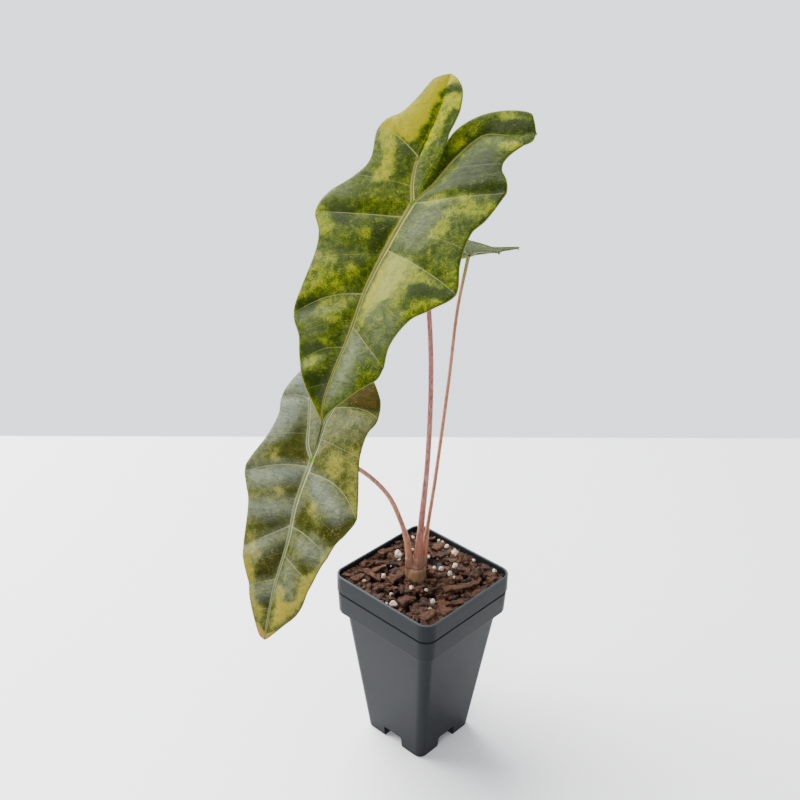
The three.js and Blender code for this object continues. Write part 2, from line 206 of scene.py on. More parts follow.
def applyModifiers(piece):
    bpy.context.view_layer.update()
    shaped = bpy.data.meshes.new_from_object(piece.evaluated_get(bpy.context.evaluated_depsgraph_get()))
    piece.modifiers.clear()
    piece.data = shaped


def through(knots, share):  # cubic curve through [share, values...] knots, with the slopes of neighbours
    i = 0
    while i + 2 < len(knots) and share > knots[i + 1][0]:
        i += 1

    def slope(k, axis):
        before, after = knots[max(k - 1, 0)], knots[min(k + 1, len(knots) - 1)]
        return (after[axis] - before[axis]) / (after[0] - before[0])

    start, end = knots[i], knots[i + 1]
    length = end[0] - start[0]
    t = (share - start[0]) / length
    return [(2 * t**3 - 3 * t**2 + 1) * start[axis] + (t**3 - 2 * t**2 + t) * length * slope(i, axis)
            + (3 * t**2 - 2 * t**3) * end[axis] + (t**3 - t**2) * length * slope(i + 1, axis)
            for axis in range(1, len(start))]


# Pot: rounded square rings from the foot up the outside, over the rim and down the inside

pot = {
    "height": 96, "rimHalf": 31.46, "baseHalf": 18.9, "bodyTopHalf": 30.2, "wall": 1.2,
    "rimCorner": 6.5, "footCorner": 4, "bandTop": 85.6, "bandBottom": 74.5, "bandInset": 0.4,
    "grooveHeight": 1, "grooveInset": 1, "turn": math.radians(47.2), "footGap": 12,
    "footHeight": 3, "notchHeight": 6.5, "floorTop": 4.6, "cornerSteps": 14, "flatStep": 0.8,
}


def roundedSquare(half, radius, z):
    steps, ring = pot["cornerSteps"], []
    for corner in range(4):
        middle = Vector((half - radius, half - radius, 0))
        middle.rotate(Matrix.Rotation(corner * math.pi / 2, 3, "Z"))
        for step in range(-1, steps + 2):  # a point past each end of the arc keeps the sides flat
            onArc = max(0, min(steps, step))
            angle = (corner + onArc / steps) * math.pi / 2
            out = Vector((math.cos(angle), math.sin(angle), 0))
            point = middle + out * radius + Vector((-out.y, out.x, 0)) * (step - onArc) * pot["flatStep"]
            point.rotate(Matrix.Rotation(pot["turn"], 3, "Z"))
            ring.append(toFrame((point.x, point.y, z)))
    return ring


def potBodyHalf(z):
    return lerp(pot["baseHalf"], pot["bodyTopHalf"], z / pot["height"])


def plasticMaterial():
    plastic = newMaterial("potPlastic", Roughness=0.42, Specular_IOR_Level=0.09)
    place = objectPlace(plastic)
    cloud = mottle(plastic, place, 28, 4)
    grain = mottle(plastic, place, 2600, 2)
    dust = fade(plastic, mottle(plastic, place, 240, 5, 0.7), 0.6, 0.78)
    # a lighter tone along the rim's top edge: a painted highlight
    paintedRimHighlight = fade(plastic, heightOf(plastic), 0.0952, 0.0959)
    colour = coats(plastic, srgb(22, 25, 27), [
        (cloud, srgb(28, 31, 32)),
        (thinned(plastic, dust, 0.16), srgb(66, 66, 64)),
        (paintedRimHighlight, srgb(54, 59, 62)),
    ])
    height = calc(plastic, "ADD", grain, calc(plastic, "MULTIPLY", cloud, 2.0))
    rough = addNode(plastic, "ShaderNodeMapRange", {"Value": cloud, "To Min": 0.36, "To Max": 0.5}).outputs[0]
    toShader(plastic, Base_Color=colour, Roughness=rough, Normal=bump(plastic, height, 0.00006, 0.6))
    return plastic


def cutter(name, size, centre):  # a turned box that cuts a channel or a notch under the pot
    bm = bmesh.new()
    bmesh.ops.create_cube(bm, size=mm)
    bmesh.ops.scale(bm, vec=size, verts=bm.verts)
    apart = 0.75 * size[2] * mm
    level = [edge for edge in bm.edges if abs(edge.verts[0].co.z + edge.verts[1].co.z) > apart]
    bmesh.ops.bevel(bm, geom=level, offset=0.8 * mm, affect="EDGES", segments=3, profile=0.5, material=-1)
    bmesh.ops.translate(bm, vec=Vector(centre) * mm, verts=bm.verts)
    bmesh.ops.rotate(bm, matrix=Matrix.Rotation(pot["turn"], 3, "Z"), verts=bm.verts)
    bmesh.ops.translate(bm, vec=potAxis, verts=bm.verts)
    return placed(name, meshOf(name, bm))


def makePot():
    rim, wall, top = pot["rimHalf"], pot["wall"], pot["height"]
    corner, inset, groove = pot["rimCorner"], pot["bandInset"], pot["grooveInset"]
    rimBottom = pot["bandTop"] + pot["grooveHeight"]
    bandBottom = pot["bandBottom"]
    profile = [  # half width, corner radius, height
        [pot["baseHalf"] - 0.5, pot["footCorner"] - 0.5, 0],
        [pot["baseHalf"] - 0.12, pot["footCorner"], 0.15],
        [potBodyHalf(0.6), pot["footCorner"], 0.6],
        [potBodyHalf(bandBottom - 2.4), corner - wall, bandBottom - 2.4],
        [potBodyHalf(bandBottom - 1.6) + 0.15, corner - wall, bandBottom - 1.6],
        [rim - 2 * inset - 0.2, corner - inset, bandBottom - 0.2],
        [rim - 2 * inset, corner - inset, bandBottom + 0.3],
        [rim - inset, corner - inset, pot["bandTop"] - 0.3],
        [rim - inset - 0.25, corner - inset, pot["bandTop"]],
        [rim - groove, corner - groove, pot["bandTop"] + 0.05],
        [rim - groove, corner - groove, rimBottom - 0.05],
        [rim - 0.25, corner, rimBottom],
        [rim, corner, rimBottom + 0.3],
        [rim, corner, top - 0.5],
        [rim - 0.15, corner - 0.15, top - 0.15],
        [rim - 0.45, corner - 0.45, top],
        [rim - wall + 0.3, corner - wall + 0.3, top],
        [rim - wall, corner - wall, top - 0.3],
        [rim - wall, corner - wall, rimBottom + 2 * wall],
        [rim - 2 * wall, corner - wall, rimBottom],
        [rim - 2 * wall, corner - wall, bandBottom + 2],
        [potBodyHalf(bandBottom) - wall, pot["footCorner"], bandBottom - 1],
        [potBodyHalf(pot["floorTop"]) - wall, pot["footCorner"] - wall / 2, pot["floorTop"]],
    ]
    bm = newMesh()
    loft(bm, [roundedSquare(half, radius, z) for half, radius, z in profile])
    piece = addPiece("potShell", bm, [plasticMaterial()], "pot", 28)
    size, gapWidth = 4 * rim, pot["footGap"]
    cutters = [
        cutter("channelX", (size, gapWidth, 2 * pot["footHeight"]), (0, 0, 0)),
        cutter("channelY", (gapWidth, size, 2 * pot["footHeight"]), (0, 0, 0)),
    ]
    for side in (-1, 1):
        reach = side * pot["baseHalf"]
        cutters.append(cutter("notchX", (4 * wall, gapWidth, 2 * pot["notchHeight"]), (reach, 0, 0)))
        cutters.append(cutter("notchY", (gapWidth, 4 * wall, 2 * pot["notchHeight"]), (0, reach, 0)))
    for tool in cutters:
        cut = piece.modifiers.new(tool.name, "BOOLEAN")
        cut.operation, cut.object, cut.solver = "DIFFERENCE", tool, "EXACT"
    piece.modifiers.new("flatSides", "WEIGHTED_NORMAL").keep_sharp = True
    applyModifiers(piece)
    for tool in cutters:
        bpy.data.objects.remove(tool)


makePot()
print("pot made")

# Bark mix: a dark bed, nearly black with painted shade for the gaps between the chips, bark chips laid in
# three passes, and perlite grains

soil = {
    "bedTop": 89.6, "bedDepth": 10, "bedSteps": 44, "bedSwell": 1.4, "bedLumps": 0.6, "half": 29.9,
    "corner": 5.2, "seed": 11, "spread": 42, "chipEdge": 0.13, "chosenLevel": 93.2, "chosenTone": 0.8,
    "grainLevel": 93.3,
    "passes": [  # how many, length, width and height ranges, and the height they lie at
        [150, (6, 11), (3.2, 5.5), (2, 3), (90.0, 91.2)],
        [240, (3, 7), (2, 3.8), (1.4, 2.4), (91.0, 92.7)],
        [420, (1.2, 3), (0.9, 1.8), (0.7, 1.4), (91.4, 93.4)],
    ],
    "chosen": [  # x, y, length, width and heading of the chips that show most
        [18.5, -7.3, 18, 4.2, 20], [15.4, -20.4, 12, 2.5, 7], [-30.1, 11.3, 5, 3, 59],
        [-21.5, 5.9, 8.5, 3.4, 34], [-24.3, 0.7, 12, 3, -49], [-31.4, -1.7, 7, 4.5, 42],
        [-13, -1.1, 7.5, 4, 36], [-12.4, 30.4, 5, 2.5, 38], [-19.4, 21.7, 8.5, 4, 42],
        [-8.9, -19.3, 7, 4.5, 52], [2.2, -30, 9, 6.5, 45], [10.7, -27.3, 6.5, 4, 47],
        [26.7, 4.6, 8, 4, 57], [33.7, -0.6, 5, 3.5, 39], [9.1, 27.5, 9, 5, 55],
        [-37, 0.1, 4.5, 4, -23], [9.3, 2, 6, 3.4, 30],
    ],
    "grains": [  # x, y and radius of the perlite grains that show
        [-12.4, 19.1, 2.3], [-4.9, 23.1, 1], [2.8, 16.9, 1.4], [9.4, 7.1, 1.4], [13.3, 3.4, 1.5],
        [12.5, 26.5, 1.2], [16.5, 21.2, 2.1], [10, 33.1, 1], [13.9, 33.3, 1.5], [35.4, 6.1, 1.4],
        [-19.1, -0.1, 1.5], [-28.4, -4.1, 0.9], [-5.5, -8.8, 1.3], [1.6, -10.4, 1], [-15.1, -14.5, 1],
        [-14.1, -22, 1.8], [-17.2, -21.6, 0.8], [4.7, -19.4, 1.2], [3.1, -24.9, 0.8],
        [25.7, 14.9, 0.9], [15.3, 0.1, 0.8], [5.9, 7.6, 1], [16.4, 9.9, 1.5], [-4.9, 34.2, 1],
    ],
    "smallGrains": [22, (0.4, 0.9), 92],  # how many, radius range and height
    "stem": (-3, 2.2, 5.6),  # x, y and the radius kept clear
}


def bedMaterial():
    bed = newMaterial("bedSoilAndShade", Roughness=0.95, Specular_IOR_Level=0.2)
    place = objectPlace(bed)
    # near black: the soil's colour with painted shade for the gaps between the chips
    colour = blend(bed, mottle(bed, place, 700, 5), srgb(8, 5, 4), srgb(26, 16, 12))
    toShader(bed, Base_Color=colour, Normal=bump(bed, mottle(bed, place, 900, 5), 0.0008))
    return bed


def barkMaterial():
    bark = newMaterial("bark", Roughness=0.8, Specular_IOR_Level=0.25)
    place, tone = attribute(bark, "chipPlace", "Vector"), attribute(bark, "chipTone")
    fibres = mottle(bark, stretched(bark, place, (0.35, 1.6, 1.6)), 1.5, 6, 0.65, 0.4)
    blotch = mottle(bark, place, 0.35, 3)
    crumbs = mottle(bark, place, 2.6, 5, 0.7)
    dark = blend(bark, tone, srgb(20, 11, 7), srgb(48, 29, 19))
    light = coats(bark, srgb(66, 40, 26), [
        (tone, srgb(116, 74, 46)),
        (fade(bark, tone, 0.86, 0.9), srgb(120, 70, 38)),
        (fade(bark, tone, 0.2, 0.16), srgb(66, 50, 46)),
    ])
    colour = coats(bark, dark, [
        (fade(bark, fibres, 0.35, 0.72), light),
        (fade(bark, blotch, 0.5, 0.7), srgb(30, 17, 11)),
        (thinned(bark, fade(bark, crumbs, 0.6, 0.68), 0.6), srgb(124, 90, 60)),
    ])
    toShader(bark, Base_Color=colour, Normal=bump(bark, calc(bark, "ADD", fibres, crumbs), 0.0008))
    return bark


def perliteMaterial():
    perlite = newMaterial("perlite", Roughness=0.8)
    place = objectPlace(perlite)
    pores = fade(perlite, cells(perlite, place, 1500), 0.1, 0.5)
    stain = fade(perlite, mottle(perlite, place, 260, 3), 0.5, 0.75)
    colour = coats(perlite, srgb(130, 116, 98), [(pores, srgb(172, 160, 144)), (stain, srgb(132, 100, 72))])
    toShader(perlite, Base_Color=colour, Normal=bump(perlite, pores, 0.0003))
    return perlite


def keptInside(x, y, reach):  # pulls a point of the pot's square back from its wall and off the stem
    point = Vector((x, y, 0))
    point.rotate(Matrix.Rotation(-pot["turn"], 3, "Z"))
    limit = soil["half"] - reach
    point = Vector((max(-limit, min(limit, point.x)), max(-limit, min(limit, point.y)), 0))
    spare = Vector((max(0, abs(point.x) - limit + 4), max(0, abs(point.y) - limit + 4), 0))
    if spare.length > 4:
        point -= Vector((math.copysign(1, point.x), math.copysign(1, point.y), 0)) * (spare.length - 4)
    point.rotate(Matrix.Rotation(pot["turn"], 3, "Z"))
    stemX, stemY, clear = soil["stem"]
    away = Vector((point.x - stemX, point.y - stemY, 0))
    if away.length < clear + reach:
        point += away.normalized() * (clear + reach - away.length)
    return point


def makeBed():
    bm = newMesh()
    steps, rows = soil["bedSteps"], []
    for row in range(steps + 1):
        line = []
        for column in range(steps + 1):
            u, v = 2 * row / steps - 1, 2 * column / steps - 1
            reach = max(abs(u), abs(v))
            edge = Vector((v, u, 0)).normalized() if reach else Vector((1, 0, 0))
            flat = Vector((v, u, 0)) * soil["half"]
            pull = soil["corner"] * 0.41 * reach * max(0, 2 * abs(edge.x * edge.y) - 0.6) / 0.4
            flat -= edge * pull
            rise = soil["bedSwell"] * noise.noise(flat * 0.22) + soil["bedLumps"] * noise.noise(flat * 0.7)
            flat.rotate(Matrix.Rotation(pot["turn"], 3, "Z"))
            line.append(toFrame((flat.x, flat.y, soil["bedTop"] + rise)))
        rows.append(line)
    gridOf(bm, rows)
    rim = [edge for edge in bm.edges if edge.is_boundary]
    walls = bmesh.ops.extrude_edge_only(bm, edges=rim)["geom"]
    lower = [item for item in walls if isinstance(item, bmesh.types.BMVert)]
    for vert in lower:
        vert.co.z = (soil["bedTop"] - soil["bedDepth"]) * mm
    bmesh.ops.holes_fill(bm, edges=[edge for edge in bm.edges if edge.is_boundary], sides=0)
    addPiece("barkBed", bm, [bedMaterial()], "soil")


def chipMesh():  # its points keep a place and a tone for the bark's colours
    bm = newMesh()
    bm.verts.layers.float_vector.new("chipPlace")
    bm.verts.layers.float.new("chipTone")
    return bm


def addChip(pile, draw, middle, size, heading, tilt, tone):
    bm = chipMesh()
    chipPlace, chipTone = bm.verts.layers.float_vector["chipPlace"], bm.verts.layers.float["chipTone"]
    bmesh.ops.create_cube(bm, size=1)
    bmesh.ops.bevel(bm, geom=bm.edges, offset=soil["chipEdge"], affect="EDGES", segments=1, profile=0.5,
                    material=-1)
    lengthwise = [edge for edge in bm.edges if abs(edge.verts[0].co.x - edge.verts[1].co.x) > 0.5]
    bmesh.ops.subdivide_edges(bm, edges=lengthwise, cuts=3, use_grid_fill=True)
    shift = Vector((draw.uniform(-50, 50), draw.uniform(-50, 50), draw.uniform(-50, 50)))
    bend, taper = draw.uniform(-0.12, 0.12), draw.uniform(0.45, 0.95)
    turn = Matrix.Rotation(heading, 4, "Z") @ Matrix.Rotation(tilt[0], 4, "Y")
    turn = turn @ Matrix.Rotation(tilt[1], 4, "X")
    for vert in bm.verts:
        local = Vector([value * reach for value, reach in zip(vert.co, size)])
        narrow = lerp(1, taper, vert.co.x + 0.5)
        local.y = local.y * narrow + bend * size[0] * vert.co.x**2
        local.z *= lerp(1, narrow, 0.5)
        local += noise.noise_vector(local * (1.6 / size[1]) + shift) * 0.24 * min(size[1], 2.2 * size[2])
        vert[chipPlace] = local + shift
        vert[chipTone] = tone
        vert.co = toFrame(middle) + (turn @ local) * mm
    chip = meshOf("chip", bm)
    pile.from_mesh(chip)
    bpy.data.meshes.remove(chip)


def makeChips():
    draw, bm, spread = random.Random(soil["seed"]), chipMesh(), soil["spread"]
    noise.seed_set(soil["seed"])  # the clock sets noise_vector otherwise
    for count, lengths, widths, heights, levels in soil["passes"]:
        for _ in range(count):
            size = draw.uniform(*lengths), draw.uniform(*widths), draw.uniform(*heights)
            middle = keptInside(draw.uniform(-spread, spread), draw.uniform(-spread, spread), 0.42 * size[0])
            middle.z = draw.uniform(*levels)
            tilt = draw.gauss(0, 0.22), draw.gauss(0, 0.3)
            addChip(bm, draw, middle, size, draw.uniform(0, 2 * math.pi), tilt, draw.random())
    for x, y, length, width, heading in soil["chosen"]:
        middle = keptInside(x, y, 0.45 * width)
        middle.z = soil["chosenLevel"]
        size = length, width, min(2.4, 0.7 * width)
        tilt = draw.gauss(0, 0.05), draw.gauss(0, 0.2)
        addChip(bm, draw, middle, size, math.radians(heading), tilt, soil["chosenTone"])
    addPiece("barkChips", bm, [barkMaterial()], "soil", 30)


def makeGrains():
    draw, bm, spread = random.Random(soil["seed"] + 1), newMesh(), soil["spread"]
    places = [(x, y, 0.95 * radius, soil["grainLevel"]) for x, y, radius in soil["grains"]]
    count, radii, lowLevel = soil["smallGrains"]
    for _ in range(count):
        x, y = draw.uniform(-spread, spread), draw.uniform(-spread, spread)
        places.append((x, y, draw.uniform(*radii), lowLevel))
    for x, y, radius, level in places:
        first = len(bm.verts)
        bmesh.ops.create_icosphere(bm, subdivisions=3, radius=1)
        bm.verts.ensure_lookup_table()
        middle = keptInside(x, y, radius)
        middle.z = level
        shift = Vector((x, y, radius)) * 3
        squash = Vector((draw.uniform(0.85, 1.15), draw.uniform(0.85, 1.15), draw.uniform(0.75, 1)))
        for vert in bm.verts[first:]:
            lumps = 0.95 + 0.4 * noise.noise(vert.co * 1.3 + shift) + 0.16 * noise.noise(vert.co * 4 + shift)
            vert.co = toFrame(middle) + vert.co * squash * lumps * radius * mm
    addPiece("perliteGrains", bm, [perliteMaterial()], "soil")


makeBed()
makeChips()
makeGrains()
print("bark mix made")

# Stalks and stem: rings along a smooth route, [share of the length, radius] for their thickness

stemProfile = [[4.2, 84], [5, 88], [5, 92], [4.4, 97], [3, 99.5], [1, 100]]  # radius, height
stalkForm = {"sides": 20, "steps": 150, "groove": 0.12, "sheathSteps": 20}
stalks = {
    "front": {
        "sheath": [[-2.6, 2.2, 82], [-2.5, 2.2, 92], [-2.5, 1.6, 104]],
        "sheathRadii": [[0, 3.2], [0.5, 3.4], [1, 2.3]],
        "route": [[-2.5, 1.9, 98], [-2.4, 1.5, 105], [-1.6, 0, 122.5], [0.4, -4, 161.5], [0.6, -8, 204.5],
                  [-1.4, -13, 239.5], [-5, -18.5, 266]],
        "radii": [[0, 2.3], [0.05, 2.05], [0.12, 1.6], [0.3, 1.25], [0.95, 0.98], [1, 1.15]],
        "slot": "red_stalk", "finish": "redStalkSkin",
        "skin": srgb(140, 78, 66), "blush": srgb(124, 64, 56), "fleck": srgb(86, 40, 38),
        "top": srgb(110, 90, 48),
    },
    "low": {
        "sheath": [[-4.6, 2, 82], [-6, 1.9, 92], [-7, 1.7, 104]],
        "sheathRadii": [[0, 2.6], [0.5, 2.4], [1, 2]],
        "route": [[-6.5, 1.8, 98], [-7, 1.7, 104.5], [-8.2, 1, 114], [-11.8, -1, 127.5], [-17, -5, 142],
                  [-24.5, -11, 155], [-33.5, -18, 166], [-43, -24.5, 172]],
        "radii": [[0, 2], [0.08, 1.8], [0.25, 1.25], [0.95, 1.05], [1, 1.15]],
        "slot": "tan_stalk", "finish": "tanStalkSkin",
        "skin": srgb(160, 106, 80), "blush": srgb(142, 88, 68), "fleck": srgb(104, 58, 46),
        "top": srgb(124, 102, 58),
    },
    "back": {
        "sheath": [[-1.8, 3.4, 82], [-0.9, 3.8, 92], [0.6, 4.5, 104]],
        "sheathRadii": [[0, 2.6], [0.5, 2.4], [1, 1.8]],
        "route": [[0.2, 4.3, 98], [0.6, 4.5, 104.5], [1.4, 4.8, 116], [4.6, 6, 145.5], [9.3, 10, 196],
                  [11.9, 12, 229.5]],
        "radii": [[0, 1.8], [0.05, 1.55], [0.15, 0.95], [0.9, 0.75], [1, 0.85]],
        "slot": "tan_stalk", "finish": "paleStalkSkin",
        "skin": srgb(156, 98, 66), "blush": srgb(140, 84, 54), "fleck": srgb(102, 58, 38),
        "top": srgb(128, 126, 50),
    },
}


def lengthKnots(points):  # each point with the share of the route's length before it
    lengths = [0]
    for before, after in zip(points, points[1:]):
        lengths.append(lengths[-1] + (Vector(after) - Vector(before)).length)
    return [[length / lengths[-1], *point] for length, point in zip(lengths, points)]


def stalkRings(points, radii, steps, groove=0.0):
    knots, sides = lengthKnots(points), stalkForm["sides"]
    across = Vector((points[-1][1] - points[0][1], points[0][0] - points[-1][0], 0))
    across = across.normalized() if across.length > 1 else Vector((1, 0, 0))
    rings = []
    for step in range(steps + 1):
        share = step / steps
        middle = Vector(through(knots, share))
        ahead = Vector(through(knots, min(1, share + 0.01))) - Vector(through(knots, max(0, share - 0.01)))
        up = ahead.normalized().cross(across).normalized()
        side = up.cross(ahead.normalized())
        span = max(k for k in range(len(radii) - 1) if radii[k][0] <= share)
        (start, startRadius), (end, endRadius) = radii[span], radii[span + 1]
        radius = lerp(startRadius, endRadius, (share - start) / (end - start))
        ring = []
        for k in range(sides):
            angle = 2 * math.pi * k / sides
            away = radius * (1 - groove * max(0, math.cos(angle)) ** 6)
            ring.append(toFrame(middle + (up * math.cos(angle) + side * math.sin(angle)) * away))
        rings.append(ring)
    return rings


def stalkMaterial(look):
    stalk = newMaterial(look["finish"], Roughness=0.4, Specular_IOR_Level=0.3)
    place = objectPlace(stalk, (1, 1, 0.4))
    flecks = fade(stalk, mottle(stalk, place, 900, 3, 0.6), 0.5, 0.62)
    streaks = fade(stalk, mottle(stalk, objectPlace(stalk, (1, 1, 0.06)), 1300, 3), 0.52, 0.64)
    colour = coats(stalk, look["skin"], [
        (mottle(stalk, place, 240, 3), look["blush"]),
        (thinned(stalk, flecks, 0.75), look["fleck"]),
        (thinned(stalk, streaks, 0.5), srgb(174, 132, 104)),
        (fade(stalk, attribute(stalk, "alongStalk"), 0.86, 1.0), look["top"]),
        (thinned(stalk, fade(stalk, heightOf(stalk), 0.13, 0.1), 0.6), srgb(140, 98, 76)),
    ])
    height = calc(stalk, "ADD", flecks, mottle(stalk, objectPlace(stalk, (1, 1, 0.12)), 2200, 2))
    toShader(stalk, Base_Color=colour, Normal=bump(stalk, height, 0.00008, 0.6))
    return stalk


def makeStalk(name, end):
    stalk, bm = stalks[name], newMesh()
    bm.verts.layers.float.new("alongStalk")
    route = [*stalk["route"], end]
    loft(bm, stalkRings(route, stalk["radii"], stalkForm["steps"], stalkForm["groove"]))
    along = bm.verts.layers.float["alongStalk"]
    low, high = stalk["route"][0][2] * mm, end[2] * mm
    for vert in bm.verts:
        vert[along] = (vert.co.z - low) / (high - low)
    addPiece("petiole" + name.capitalize(), bm, [stalkMaterial(stalk)], "petiole_" + name, 60)


def stemMaterial():
    stem = newMaterial("stemSkin", Roughness=0.5, Specular_IOR_Level=0.4)
    streaks = mottle(stem, objectPlace(stem, (1, 1, 0.12)), 900, 4, 0.6)
    blotch, height = mottle(stem, objectPlace(stem), 220, 3), heightOf(stem)
    ring = calc(stem, "ABSOLUTE", calc(stem, "SUBTRACT", height, 0.0985))
    colour = coats(stem, srgb(118, 88, 60), [
        (fade(stem, height, 0.09, 0.104), srgb(134, 94, 74)),
        (fade(stem, streaks, 0.42, 0.8), srgb(84, 54, 42)),
        (fade(stem, blotch, 0.55, 0.75), srgb(104, 98, 56)),
        (fade(stem, ring, 0.0005, 0.0001), srgb(84, 46, 36)),
    ])
    toShader(stem, Base_Color=colour, Normal=bump(stem, streaks, 0.0004))
    return stem


def makeStem():
    bm, (x, y, _) = newMesh(), soil["stem"]
    angles = [k * math.pi / 12 for k in range(24)]
    loft(bm, [[toFrame((x + radius * math.cos(angle), y + radius * math.sin(angle), z)) for angle in angles]
              for radius, z in stemProfile])
    for stalk in stalks.values():
        loft(bm, stalkRings(stalk["sheath"], stalk["sheathRadii"], stalkForm["sheathSteps"]))
    piece = addPiece("stemBase", bm, [stemMaterial()], "stem_base")
    weld = piece.modifiers.new("weld", "REMESH")
    weld.mode, weld.voxel_size, weld.use_smooth_shade = "VOXEL", 0.4 * mm, True
    soften = piece.modifiers.new("soften", "SMOOTH")
    soften.factor, soften.iterations = 0.5, 6
    applyModifiers(piece)


makeStem()
print("stem made")
